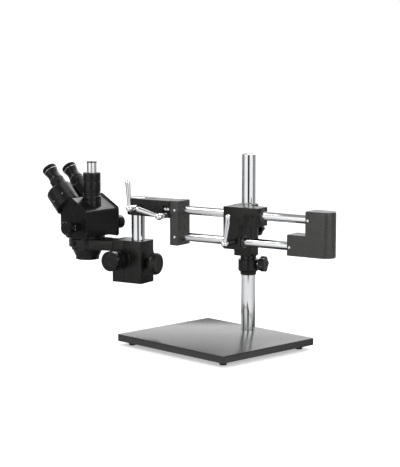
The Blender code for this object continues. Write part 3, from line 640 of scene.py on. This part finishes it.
# ---- boom
def make_boom():
    for level in ("upper", "lower"):
        low, high = extent(f"rail_{level}", BOOM)
        at = (0, (low.y + high.y) / 2, (low.z + high.z) / 2)
        radius, left = (high.z - low.z) / 2, low.x
        profile = chamfered(radius, left, high.x, 1)
        if level == "upper":
            shoulder = -158.0
            profile[3:] = [(radius, shoulder + 0.6), (radius - 0.6, shoulder), (7.0, shoulder)]
            profile += [(7.0, left + 0.6), (6.4, left), (0, left)]
        base = local(BOOM, at, (1, 0, 0), (0, 1, 0))
        rail = lathe(f"slide_bar_{level}", soften(profile, 0.3), base, 96)
        fit(rail, "boom", CHROME, f"rail_{level}")

    low, high = extent("end_plate", BOOM)
    middle = (low.y + high.y) / 2
    heights = {level: sum(v.z for v in extent(f"rail_{level}", BOOM)) / 2 for level in ("upper", "lower")}
    plate = slab("end_block", rounded(rectangle(low, high), 1.8, 4), low.z, high.z, BOOM, 1.0)
    tools, grub_bore = [], 3.4
    for height in heights.values():
        tools += bored(BOOM, (RAIL_BORE, -158.3, 0, (0, middle, height), (1, 0, 0)),
                       (grub_bore, -0.5, 14, (-152, low.y, height), (0, 1, 0)))
    tools += bored(BOOM, (SPIGOT_BORE, -170, -150, (0, middle, heights["upper"]), (1, 0, 0)))
    fit(carve(plate, tools), "boom", WEIGHT, "end_plate")
    for level, height in heights.items():
        base = local(BOOM, (-152, low.y, height), (0, -1, 0))
        socket_screw(f"end_block_grub_{level}", 3.0, 8.0, base, "boom", CHROME, f"plate_screw_{level}")

    low, high = extent("counterweight", BOOM)
    half = (high.y - low.y) / 2
    step, upper_left = 265.0, 191.0
    plans = {}
    for key, left in (("upper", upper_left), ("lower", low.x)):
        plan = [(left, middle + half), (left, middle - half)]
        plan += bow((high.x - half, middle), half, -90, 90, 48)
        plans[key] = rounded(plan, [2.0, 2.0] + [0] * 49, 4)
    weight = slab("weight", plans["upper"], step - 6, high.z, BOOM, 1.3, 4)
    fuse(weight, [slab("tool", plans["lower"], low.z, step, BOOM, 1.3, 4)])
    tools = []
    screws_t = {"upper": 198.0, "lower": 152.0}
    for level, t in screws_t.items():
        tools += bored(BOOM, (RAIL_BORE, 100, 240.3, (0, middle, heights[level]), (1, 0, 0)),
                       (grub_bore, -0.5, 14, (t, low.y, heights[level]), (0, 1, 0)))
    fit(carve(weight, tools), "boom", WEIGHT, "counterweight")
    for level, t in screws_t.items():
        base = local(BOOM, (t, low.y, heights[level]), (0, -1, 0))
        socket_screw(f"weight_grub_{level}", 3.0, 8.0, base, "boom", CHROME, f"weight_screw_{level}")


# ---- arm and post
def make_arm():
    low, high = extent("arm", BOOM)
    middle, half = (low.y + high.y) / 2, (high.y - low.y) / 2
    post_t = low.x + half
    plan = [(high.x, low.y), (high.x, high.y)] + bow((post_t, middle), half, 90, 270, 48)
    arm = slab("arm_casting", rounded(plan, [2.0, 2.0] + [0] * 49, 4), low.z, high.z, BOOM, 1.2, 4)
    tools = bored(BOOM, (POLE_BORE, 250, 350, (post_t, middle, 0), (0, 0, 1)),
                  (SPIGOT_BORE, -195, -150, (0, middle, 299), (1, 0, 0)),
                  (LEVER_BORE, -5, 37, spot("post_lock_turn", BOOM), (0, 1, 0)),
                  (LEVER_BORE, -5, 37, spot("tilt_lock_turn", BOOM), (0, 1, 0)))
    mouth = below(high.z, [(0, -2), (18.6, -2), (18.6, -0.6), (16.6, 1.4), (15, 1.4), (0, 1.4)])
    tools += [lathe("tool", mouth, local(BOOM, (post_t, middle, 0)), 96)]
    tools += [box_tool((post_t, middle - 1.5, 250), (-214, middle + 1.5, 350), BOOM),
              box_tool((-190, middle - 1.2, 270), (-150, middle + 1.2, 295), BOOM),
              box_tool((-183, low.y - 5, 293), (-160, low.y + 5, 308), BOOM)]
    screws_t = (-177.6, -170.0)
    tools += bored(BOOM, *[(3.0, -9, 2, (t, low.y + 5, 300), (0, -1, 0)) for t in screws_t])
    fit(carve(arm, tools), "arm", CASTING, "arm")
    for number, t in enumerate(screws_t, start=1):
        base = local(BOOM, (t, low.y + 5, 300), (0, -1, 0))
        profile = [(0, 3.6), (3.0, 3.6), (3.6, 3.1), (3.6, 0.4), (2.6, 0.4), (2.6, -7), (0, -7)]
        screw = lathe(f"window_screw_{number}", soften(profile, 0.3), base, 40)
        carve(screw, [socket_tool(1.7, 1.6, 5, base)])
        fit(screw, "arm", CHROME, f"pivot_screw_{number}")
    low, high = extent("post", FOCUS)
    profile = soften(chamfered(high.x, low.z, high.z, 1), 0.4, 4)
    fit(lathe("post_bar", profile, FOCUS, 128), "post", CHROME, "post")


# ---- focus block
def make_focus_block():
    low, high = extent("focus_housing", FOCUS)
    knob_z = JOINTS["post_clamp_turn"]["pos_m"][2] / MM
    corners = rounded(rectangle(low, high), [1.2, 3.6, 3.6, 1.2], 6)
    housing = slab("rack_housing", corners, low.z, high.z, FOCUS, 0.8)
    groove = [(low.x - 1, -8.2), (-18.5, -13), (-18.5, 13), (low.x - 1, 8.2)]
    tools = [slab("tool", groove, 100, 240, FOCUS, 0)]
    clamp_bore = 5.2
    tools += bored(FOCUS, (POLE_BORE, 100, 240, *UPRIGHT), (clamp_bore, 10, 40, (0, 0, knob_z), (1, 0, 0)))
    fit(carve(housing, tools), "focus_block", CASTING, "focus_housing")
    profile = [(0, 55.2), (9, 55.4), (18, 56.0), (21.5, 56.0), (25, 53.5), (26.2, 50), (26.2, 45)]
    profile += [(24.6, 41.8), (17, 40.2), (12.6, 39.4), (12, 37.4), (12, 27.6), (11.4, 27), (4.9, 27)]
    profile = soften(profile + [(4.9, 16.8), (4.6, 16.5), (0, 16.5)], 1.1, 4)
    knob = lathe("post_clamp_disc", profile, local(FOCUS, (0, 0, knob_z), (1, 0, 0)), 128)
    fit(knob, "post_clamp", CASTING, "post_knob")

    low, high = extent("carriage", FOCUS)
    root = -23.8
    shaft = spot("focus_turn", FOCUS)
    corners = rounded(rectangle(low, (root, high.y)), [2.0, 1.2, 1.2, 2.0], 5)
    carriage = slab("rack_carriage", corners, low.z, high.z, FOCUS, 0.8)
    key = [(root - 1, -7.8), (-18.9, -12.5), (-18.9, 12.5), (root - 1, 7.8)]
    fuse(carriage, [slab("tool", key, low.z + 0.05, high.z - 0.05, FOCUS, 0)])
    carve(carriage, bored(FOCUS, (SHAFT_BORE, -60, 60, shaft, (0, 1, 0))))
    fit(carriage, "carriage", CASTING, "carriage")
    half = high.y
    for side, sign in (("front", -1), ("rear", 1)):
        base = local(FOCUS, shaft, (0, sign, 0))
        profile = [(25.2, half + 2.3), (25.2, half + GAP), (SHAFT_BORE, half + GAP), (SHAFT_BORE, half + 3.3)]
        profile += [(24.2, half + 3.3)]
        flange = lathe(f"focus_dial_{side}", rounded(profile, [0.4, 0.3, 0, 0, 0.4], 4), base, 128, ring=True)
        fit(flange, "carriage", CASTING, f"focus_flange_{side}")
        make_focus_knob(f"focus_grip_{side}", base, half + 3.6, half + 50.6, f"focus_knob_{side}")
    pin = chamfered(4.5, -half - 30, half + 30, 0.5)
    spindle = lathe("focus_spindle", pin, local(FOCUS, shaft, (0, 1, 0)), 48)
    fit(spindle, "focus_knobs", STEEL, "focus_shaft")


def make_focus_knob(name, base, near, far, node):
    """A moulded grip with a bevelled rim, a fine split line and a stepped end face."""
    radius = 23.6
    profile = below(far, [(0, 2.2), (6.0, 2.2), (6.6, 1.4), (15.5, 1.4), (16.2, 2.0), (19.0, 2.0),
                          (19.6, 0.3), (20.4, 0), (21.4, 0), (radius, 2.2)])
    profile += [(radius, near + 24.0), (radius - 0.5, near + 23.4), (radius - 0.5, near + 22.6)]
    profile += [(radius, near + 22.0), (radius, near + 0.6), (radius - 0.6, near), (SHAFT_BORE, near)]
    profile += [(SHAFT_BORE, near + 26.9), (0, near + 26.9)]
    fit(lathe(name, soften(profile, 0.5), base, 144), "focus_knobs", KNOB, node)


def make_ring():
    low, high = extent("scope_ring", FOCUS)
    centre = FOCUS.inverted() @ on_floor("head_turn") / MM
    outer, inner, ring_low = 44.5, 38.8, 194.0
    base = local(FOCUS, (centre.x, centre.y, 0))
    ring = lathe("holder_ring", soften(chamfered(outer, ring_low, high.z, 0.8), 0.4), base, 144)
    left = centre.x + outer / 2
    arm = slab("tool", [(left, -35), (high.x, -27), (high.x, 27), (left, 35)], low.z, high.z, FOCUS, 0.9)
    fuse(ring, [arm])
    heading = direction("ring_clamp_turn")
    outward = FOCUS.inverted().to_3x3() @ heading
    at = spot("ring_clamp_turn", FOCUS)
    carve(ring, [bar(inner, 150, 250, base, 144), bar(3.2, 30, 50, local(FOCUS, at, outward))])
    fit(ring, "carriage", CASTING, "scope_ring")
    base = local(FOCUS, at, outward)
    profile = [(0, 48.2), (3.2, 48.2), (3.6, 47.8), (3.6, 45), (2.9, 45), (2.9, 38.8), (2.6, 38.6), (0, 38.6)]
    screw = lathe("holder_screw", profile, base, 40)
    carve(screw, [socket_tool(1.5, 46.2, 50, base)])
    fit(screw, "ring_clamp", KNOB, "ring_screw")


# ---- head
def make_head():
    half, nose_half = 53.0, 44.0
    rear, rear_top, bottom, ridge = 49.5, 284.0, 222.5, (-5.5, 313.5)
    front, nose = -27.0, -42.0
    side = [(rear, -rear_top), (ridge[0], -ridge[1]), (front, -(ridge[1] - (ridge[0] - front))),
            (front, -236), (front + 14, -bottom), (rear, -bottom)]
    flat = axes(HEAD.translation, HEAD.to_3x3() @ Vector((1, 0, 0)), HEAD.to_3x3() @ Vector((0, 1, 0)))
    body = slab("head_shell", rounded(side, [6.0, 4.0, 2.0, 3.0, 3.0, 3.0], 5), -half, half, flat, 5.0, 6)
    muzzle = [(12, -(ridge[1] - 14)), (front, -(ridge[1] - (ridge[0] - front))),
              (nose, -(ridge[1] - (ridge[0] - nose))), (nose, -244), (nose + 16, -(bottom + 4)),
              (12, -(bottom + 4))]
    muzzle = rounded(muzzle, [2, 2, 4.0, 4.0, 3.0, 2], 5)
    fuse(body, [slab("tool", muzzle, -nose_half, nose_half, flat, 4.0, 5)])
    port = extent("port_tube", HEAD)
    port_x, port_low = (port[0].x + port[1].x) / 2, port[0].z
    port_bore, zoom_bore = 22.1, 5.1
    zoom = spot("zoom_turn", HEAD)
    carve(body, bored(HEAD, (port_bore, port_low - GAP, 400, (port_x, 0, 0), (0, 0, 1)),
                      (zoom_bore, -80, 80, zoom, (0, 1, 0))))
    fit(body, "head", HEAD_PAINT, "head_body")
    for sign, name in ((-1, "left"), (1, "right")):
        base = local(HEAD, zoom, (0, sign, 0))
        profile = below(92.0, [(0, 1.4), (7.0, 1.4), (7.6, 0.6), (12.2, 0.6), (12.8, 0), (14.4, 0),
                               (16.2, 1.8)])
        profile += [(16.2, half + 21.4), (15.6, half + 20.8), (11.4, half + 19.6), (11, half + 19)]
        profile += [(11, half + GAP), (zoom_bore, half + GAP), (zoom_bore, half + 20.4), (0, half + 20.4)]
        grip = lathe(f"zoom_grip_{name}", soften(profile, 0.4), base, 128)
        fit(grip, "zoom_knobs", KNOB, f"zoom_knob_{name}")
    pin = chamfered(4.8, -half - 20, half + 20, 0.5)
    spindle = lathe("zoom_spindle", pin, local(HEAD, zoom, (0, 1, 0)), 48)
    fit(spindle, "zoom_knobs", STEEL, "zoom_shaft")
    for number, angle in ((1, 20), (2, -20)):
        around = (cos(radians(angle)), 0, sin(radians(angle)))
        at = zoom + Vector((0, -half - 15, 0)) + 11 * Vector(around)
        screw = soften([(0, 0.55), (1.5, 0.5), (1.9, 0.0), (1.9, -1.0), (0, -1.0)], 0.2)
        fit(lathe(f"zoom_grub_{number}", screw, local(HEAD, at, around), 28), "zoom_knobs", CHROME)

    top, seat = bottom - GAP, 214.3
    cone = [(0, top), (41.4, top), (42, top - 0.6), (42, seat + 0.6), (41.4, seat), (38, seat)]
    cone += [(38, 187.4), (37.4, 186.6), (36, 186), (35.4, 184.8), (34.6, 184.4), (30.0, 173.2)]
    cone += [(29.2, 172.8), (29.5, 171.6), (28.2, 171), (28.2, 164.0), (27.4, 163), (24.2, 163)]
    cone += [(23.5, 163.6), (23.5, 170), (0, 170)]
    fit(lathe("objective_cone", cone, HEAD, 128), "head", HEAD_PAINT, "nosepiece")
    dome = [(0, 168.2), (8, 168.5), (16, 169.0), (23.2, 169.7)]
    dome += [(23.2, 165.5), (16, 164.8), (8, 164.35), (0, 164.2)]
    fit(lathe("objective_glass", dome, HEAD, 96), "head", GLASS, "objective_lens")


def make_photo_port():
    low, high = extent("port_tube", HEAD)
    port_x = (low.x + high.x) / 2
    base = local(HEAD, (port_x, 0, 0))
    r, top, bottom, bore = 21.0, high.z, low.z, 12.0
    tube = [(r - 1, top), (r, top - 1), (r, 352.6), (r - 0.45, 352.2), (r - 0.45, 351.4), (r, 351.0)]
    tube += [(r, 327), (r - 0.8, 326), (r - 0.8, 322.6), (r - 0.3, 322.2), (r - 0.3, 320.8), (r - 0.8, 320.4)]
    tube += [(r - 0.8, 317), (r + 0.8, 316), (r + 0.8, 306.4), (r + 0.4, 306.1), (r + 0.4, 305.5)]
    tube += [(r + 0.8, 305.2), (r + 0.8, bottom), (8, bottom), (8, 300), (bore, 300)]
    tube += [(bore, top - 0.8), (bore + 0.8, top)]
    port = lathe("port_barrel", rounded(tube, 0.25, 2), base, 128, ring=True)
    heading = radians(-128)
    outward = (cos(heading), sin(heading), 0)
    at = local(HEAD, (port_x, 0, 321), outward)
    carve(port, [bar(2.4, 9, 30, at, 32)])
    fit(port, "head", HEAD_PAINT, "port_tube")
    screw = lathe("port_set_screw", [(0, 21.3), (1.7, 21.2), (2.0, 20.9), (2.0, 12.3), (0, 12.3)], at, 32)
    carve(screw, [socket_tool(0.9, 19.4, 24, at)])
    fit(screw, "head", CHROME, "port_screw")
    tube_low, tube_high = extent("phototube", HEAD)
    r, inner, top, foot = 11.7, 9.6, tube_high.z, tube_low.z
    tube = [(r - 0.4, top), (r, top - 0.4), (r, foot), (inner, foot), (inner, top - 0.4), (inner + 0.4, top)]
    fit(lathe("port_sleeve", tube, base, 128, ring=True), "head", SATIN, "phototube")
    cap_high = extent("dust_cap", HEAD)[1].z
    cap = below(cap_high, [(0, 0.25), (8.5, 0.25), (9.2, 0), (12.2, 0), (12.8, 0.6)])
    cap += [(12.8, top + 0.3), (9.3, top + 0.3), (9.3, 388), (0, 388)]
    fit(lathe("port_cap", soften(cap, 0.15, 2), base, 96), "dust_cap", EYE_PLASTIC, "dust_cap")


def make_eye(name, side):
    """A prism house and the eyepiece that stands in it."""
    base = EYES[name]
    r, length, shoulder = 32.3, 52.0, 6.0
    curve = [(r - shoulder + shoulder * sin(radians(a)), length - shoulder + shoulder * cos(radians(a)))
             for a in range(0, 91, 9)]
    profile = [(0, length)] + curve + [(r, 15.4), (r - 0.5, 15.0), (r - 0.5, 14.2), (r, 13.8), (r, 0), (0, 0)]
    house = lathe(f"prism_barrel_{name}", profile, base, 144)
    eye = local(base, (9.5, side * -1.2, 0))
    dish = below(length, [(0, -1), (18.6, -1), (18.6, -0.02), (18.1, 0.9), (0, 0.9)])
    tools = [bar(12.3, length - 24, 80, eye, 72), lathe("tool", dish, eye, 96)]
    spokes = [(cos(radians(side * a)), sin(radians(side * a)), 0) for a in (155, 100, 45)]
    for x, y, _ in spokes:
        tools.append(bar(2.3, -1.4, 3, local(base, (r * x, r * y, 21.5), (x, y, 0)), 24))
    carve(house, tools)
    fit(house, f"prism_{name}", HEAD_PAINT, f"prism_house_{name}")
    for number, (x, y, _) in enumerate(spokes, start=1):
        seat = local(base, ((r - 0.3) * x, (r - 0.3) * y, 21.5), (x, y, 0))
        socket_screw(f"prism_grub_{name}_{number}", 1.9, 1.0, seat, f"prism_{name}", CHROME, socket=0.9)

    end, foot, body = 111.0, length - 0.6, f"eyepiece_{name}"
    cup = below(end, [(13.1, 0), (13.6, 0.2), (17.0, 0.5), (17.6, 1.6), (17.7, 9.2), (17.4, 10), (16.2, 10),
                      (16.2, 3.2), (13.1, 3.2)])
    cup = lathe(f"eyecup_{name}", rounded(cup, 0.35, 3), eye, 96, ring=True)
    fit(cup, body, RUBBER)
    band = below(end, [(17.0, 10.1), (17.2, 10.4), (17.2, 11.0), (16.8, 11.3), (15.4, 11.3), (15.4, 10.1)])
    band = lathe(f"eyepiece_band_{name}", rounded(band, 0.1, 2), eye, 96, ring=True)
    fit(band, body, CHROME)
    barrel = below(end, [(0, 4.6), (11.0, 4.4), (11.6, 3.6), (12.9, 3.4), (12.9, 3.3), (15.3, 3.3),
                         (15.3, 11.4), (16.4, 11.6), (16.2, 13.2), (14.9, 20), (14.4, 24), (14.8, 30),
                         (15.6, 36), (16.0, 37), (17.0, 38.2), (17.3, 38.8), (17.3, 39.2, 0.0),
                         (17.3, 39.6, 0.4), (17.3, 46.4, 0.4), (17.3, 46.8, 0.0), (17.3, 47.6),
                         (16.6, 48.2), (16.6, 48.9), (17.4, 49.4)])
    barrel += [(17.4, foot + 0.4), (17.1, foot), (12.0, foot), (12.0, length - 23), (9.5, length - 23)]
    barrel += [(9.5, length - 3), (0, length - 3)]
    barrel = lathe(f"eyepiece_barrel_{name}", barrel, eye, 288, flutes=48)
    fit(barrel, body, EYE_PLASTIC, body)
    lens = below(end, [(0, 3.2), (4, 3.35), (8, 3.8), (10.9, 4.3), (10.9, 4.5), (0, 4.55)])
    fit(lathe(f"eye_lens_{name}", lens, eye, 64), body, GLASS)
    make_ticks(f"dioptre_marks_{name}", eye, end - 50.6, 17.42, body)


def make_ticks(name, base, height, radius, body):
    """The short white dioptre marks round the foot of an eyepiece."""
    middle, apart, half_width = 112, 9, 0.22
    shape = bmesh.new()
    for k in range(-4, 5):
        angle = radians(middle + apart * k)
        tall = 2.6 if k == 0 else 1.6
        spoke, across = Vector((cos(angle), sin(angle), 0)), Vector((-sin(angle), cos(angle), 0))
        corners = []
        for depth in (radius - 0.3, radius + 0.05):
            for u, z in rectangle((-half_width, -tall / 2), (half_width, tall / 2)):
                corners.append(shape.verts.new(spoke * depth + across * u + Vector((0, 0, height + z))))
        for loop in ((0, 1, 2, 3), (4, 5, 6, 7), (0, 1, 5, 4), (1, 2, 6, 5), (2, 3, 7, 6), (3, 0, 4, 7)):
            shape.faces.new([corners[i] for i in loop])
    fit(solid(name, shape, base), body, MARKS)


# ---- studio
def disc(name, radius_m, height, material):
    """A flat round stage piece at a height in metres."""
    shape = bmesh.new()
    turns = [2 * pi * i / 96 for i in range(96)]
    shape.faces.new([shape.verts.new((radius_m / MM * cos(a), radius_m / MM * sin(a), 0)) for a in turns])
    plate = solid(name, shape, Matrix.Translation((0, 0, height)))
    plate.data.materials.append(material)
    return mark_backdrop(plate) or plate


def floor_white(name):
    """The pale floor that the camera sees."""
    tint, haze = 3.0, 20.0  # noise scales, per metre
    recipe = Recipe(name)
    recipe.colour(recipe.shades(tint, [0.86] * 3, [0.88] * 3))
    recipe.roughness(haze, 0.75, 0.85, 3.0)
    return recipe.fixed(IOR=1.2, Emission_Color=tone(1, 1, 1), Emission_Strength=0.4)


def painted_floor_reflection(name, toward_camera):
    """A painted reflection of the floor for bright metal to mirror: painted shadow under and just behind the
    object, painted light pale in front of it and grey beside it, and a painted dark reflection far out
    towards the camera."""
    recipe = Recipe(name)
    pole = on_floor("block_swivel")
    # painted shadow under the object, painted floor light beside and in front, and a painted dark reflection
    # far towards the camera
    dark, grey = tone(0.05, 0.05, 0.05), tone(0.42, 0.42, 0.42)
    pale, painted_dark_reflection = tone(0.85, 0.85, 0.86), tone(0.04, 0.04, 0.04)
    from_pole = recipe.vector("SUBTRACT", recipe.coords, tuple(pole))
    from_shade = recipe.vector("SUBTRACT", recipe.coords, tuple(pole - 0.20 * toward_camera))
    far_out = recipe.vector("LENGTH", from_pole, output="Value")
    away = recipe.vector("LENGTH", from_shade, output="Value")
    ahead = recipe.vector("DOT_PRODUCT", recipe.vector("NORMALIZE", from_pole), tuple(toward_camera), "Value")
    shade = recipe.blend(recipe.span(ahead, 0.0, 1.0, (-0.3, 0.75)), grey, pale)
    shade = recipe.blend(recipe.span(away, 0.0, 1.0, (0.24, 0.44)), dark, shade)
    strip = recipe.math("MULTIPLY", recipe.span(ahead, 0.0, 1.0, (0.96, 0.988)),
                        recipe.span(far_out, 0.0, 1.0, (0.64, 0.80)))
    recipe.tree.links.new(recipe.blend(strip, shade, painted_dark_reflection), recipe.shader.inputs["Emission Color"])
    return recipe.fixed(Base_Color=tone(0, 0, 0), Roughness=1.0, Emission_Strength=1.0)


def make_world(toward_camera):
    """White to the camera. To the object, a studio: a white front with a brighter band low down and a dark
    slit at the camera, grey sides, a bright screen behind over a dim foot, a grey ceiling and a window high
    up behind."""
    front, band, slit, sides, rear = 1.02, 2.2, 0.03, 0.26, 0.50
    foot, screen, above, ceiling, window, to_camera = 0.25, 1.55, 0.9, 0.32, 4.0, 1.1
    world = bpy.data.worlds.new("studio")
    bpy.context.scene.world = world
    world.use_nodes = True
    tree = world.node_tree
    tree.nodes.clear()

    def add(kind, inputs=(), **settings):
        return add_node(tree, kind, inputs, **settings)

    def ramp(value, low, high):
        return add("ShaderNodeMapRange", {"Value": value, "From Min": low, "From Max": high},
                   interpolation_type="SMOOTHSTEP").outputs["Result"]

    def lerp(factor, first, second):
        return add("ShaderNodeMix", {0: factor, 2: first, 3: second}, data_type="FLOAT").outputs[0]

    def both(first, second):
        return add("ShaderNodeMath", {0: first, 1: second}, operation="MULTIPLY").outputs[0]

    def along(aim):
        return add("ShaderNodeVectorMath", {0: way, 1: tuple(aim)}, operation="DOT_PRODUCT").outputs["Value"]

    way = add("ShaderNodeTexCoord").outputs["Generated"]

    facing = along(toward_camera)
    height = add("ShaderNodeSeparateXYZ", {0: way}).outputs[2]
    level = lerp(ramp(facing, 0.22, 0.42), lerp(ramp(facing, -0.3, -0.6), sides, rear), front)
    low_down = both(ramp(height, 0.03, 0.06), ramp(height, 0.26, 0.22))
    level = lerp(low_down, level, lerp(ramp(facing, 0.45, 0.6), level, band))
    at_camera = both(ramp(facing, 0.952, 0.978), ramp(height, 0.30, 0.24))
    level = lerp(at_camera, level, slit)
    backdrop = lerp(ramp(height, 0.36, 0.46), lerp(ramp(height, 0.07, 0.13), foot, screen), above)
    behind = both(ramp(facing, 0.1, -0.5), ramp(height, 0.0, 0.04))
    level = lerp(behind, level, backdrop)
    overhead = lerp(ramp(facing, -0.1, 0.2), ramp(height, 0.38, 0.52), ramp(height, 0.52, 0.66))
    level = lerp(overhead, level, ceiling)
    high_up = along(Vector((-0.25, 0.74, 0.63)).normalized())
    level = lerp(ramp(high_up, 0.88, 0.985), level, window)
    level = lerp(add("ShaderNodeLightPath").outputs["Is Camera Ray"], level, to_camera)
    background = add("ShaderNodeBackground", {"Color": tone(1, 1, 1), "Strength": level})
    tree.links.new(background.outputs[0], add("ShaderNodeOutputWorld").inputs[0])


def make_studio():
    floor_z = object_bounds()[0].z - 0.0002
    ground = disc("ground", 9.0, floor_z, floor_white("floor_white"))
    ground.visible_glossy = False
    across = bpy.context.scene.camera.location - on_floor("block_swivel")
    toward_camera = Vector((across.x, across.y, 0)).normalized()
    # a glowing disc seen only in reflections: a painted reflection of the floor, with painted shadow under
    # the object
    mirrored = disc("ground_in_reflections", 1.25, floor_z + 0.0001, painted_floor_reflection("painted_floor_reflection", toward_camera))
    mirrored.visible_camera = mirrored.visible_diffuse = mirrored.visible_shadow = False
    make_world(toward_camera)
    aim = Vector((0, 0, 0.25))
    lights = (("key", (-1.6, -1.6, 2.4), 1.6, 26.0), ("side", (2.6, -0.6, 1.5), 1.2, 10.0),
              ("top", (0.2, 0.4, 2.8), 2.0, 18.0))
    for name, at, size_m, watts in lights:
        light = bpy.data.lights.new(name, "AREA")
        light.shape = "DISK"
        light.size = size_m
        light.energy = watts
        lamp = bpy.data.objects.new(name, light)
        bpy.context.scene.collection.objects.link(lamp)
        lamp.location = at
        lamp.rotation_euler = (aim - Vector(at)).to_track_quat("-Z", "Y").to_euler()
        lamp.visible_camera = False
    bpy.context.scene.view_settings.view_transform = "Standard"


def make_camera():
    """The viewpoint: level across, pitched down a little, aimed between the pole and the head."""
    stand_off, pitch, yaw = (2.4992, -2.5659, 0.7057), radians(7.677), radians(46.015)
    lens, sensor = 121.95289, 36.0
    across = Vector((cos(yaw), sin(yaw), 0))
    ahead = Vector((-sin(yaw), cos(yaw), 0)) * cos(pitch) - UP * sin(pitch)
    camera = bpy.data.cameras.new("camera")
    camera.sensor_fit = "VERTICAL"
    camera.sensor_height = sensor
    camera.sensor_width = sensor
    camera.lens = lens
    camera.clip_start, camera.clip_end = 0.1, 60.0
    eye = bpy.data.objects.new("camera", camera)
    bpy.context.scene.collection.objects.link(eye)
    plate_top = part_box("base_plate")[1].z
    foot = on_floor("block_swivel") + Vector((0, 0, plate_top))
    eye.matrix_world = axes(foot + Vector(stand_off), across, -ahead)
    bpy.context.scene.camera = eye


make_stand()
make_collar()
make_cross_block()
# the boom lock's stud takes the casting's black enamel: painted shade where the stud shows dark in front of
# the block
make_lever("boom_lock_lever", "boom_lock_turn", (10, 0, 67), 41.0, 8.0, "boom_lock", "boom_lever", CASTING)
make_lever("post_lock_lever", "post_lock_turn", (-5, 0, 67), 39.0, 35.0, "post_lock", "post_lever")
make_lever("tilt_lock_lever", "tilt_lock_turn", (-62, 0, 14), 32.0, 35.0, "tilt_lock", "tilt_lever")
make_boom()
make_arm()
make_focus_block()
make_ring()
make_head()
make_photo_port()
make_eye("left", -1)
make_eye("right", 1)
make_camera()
make_studio()
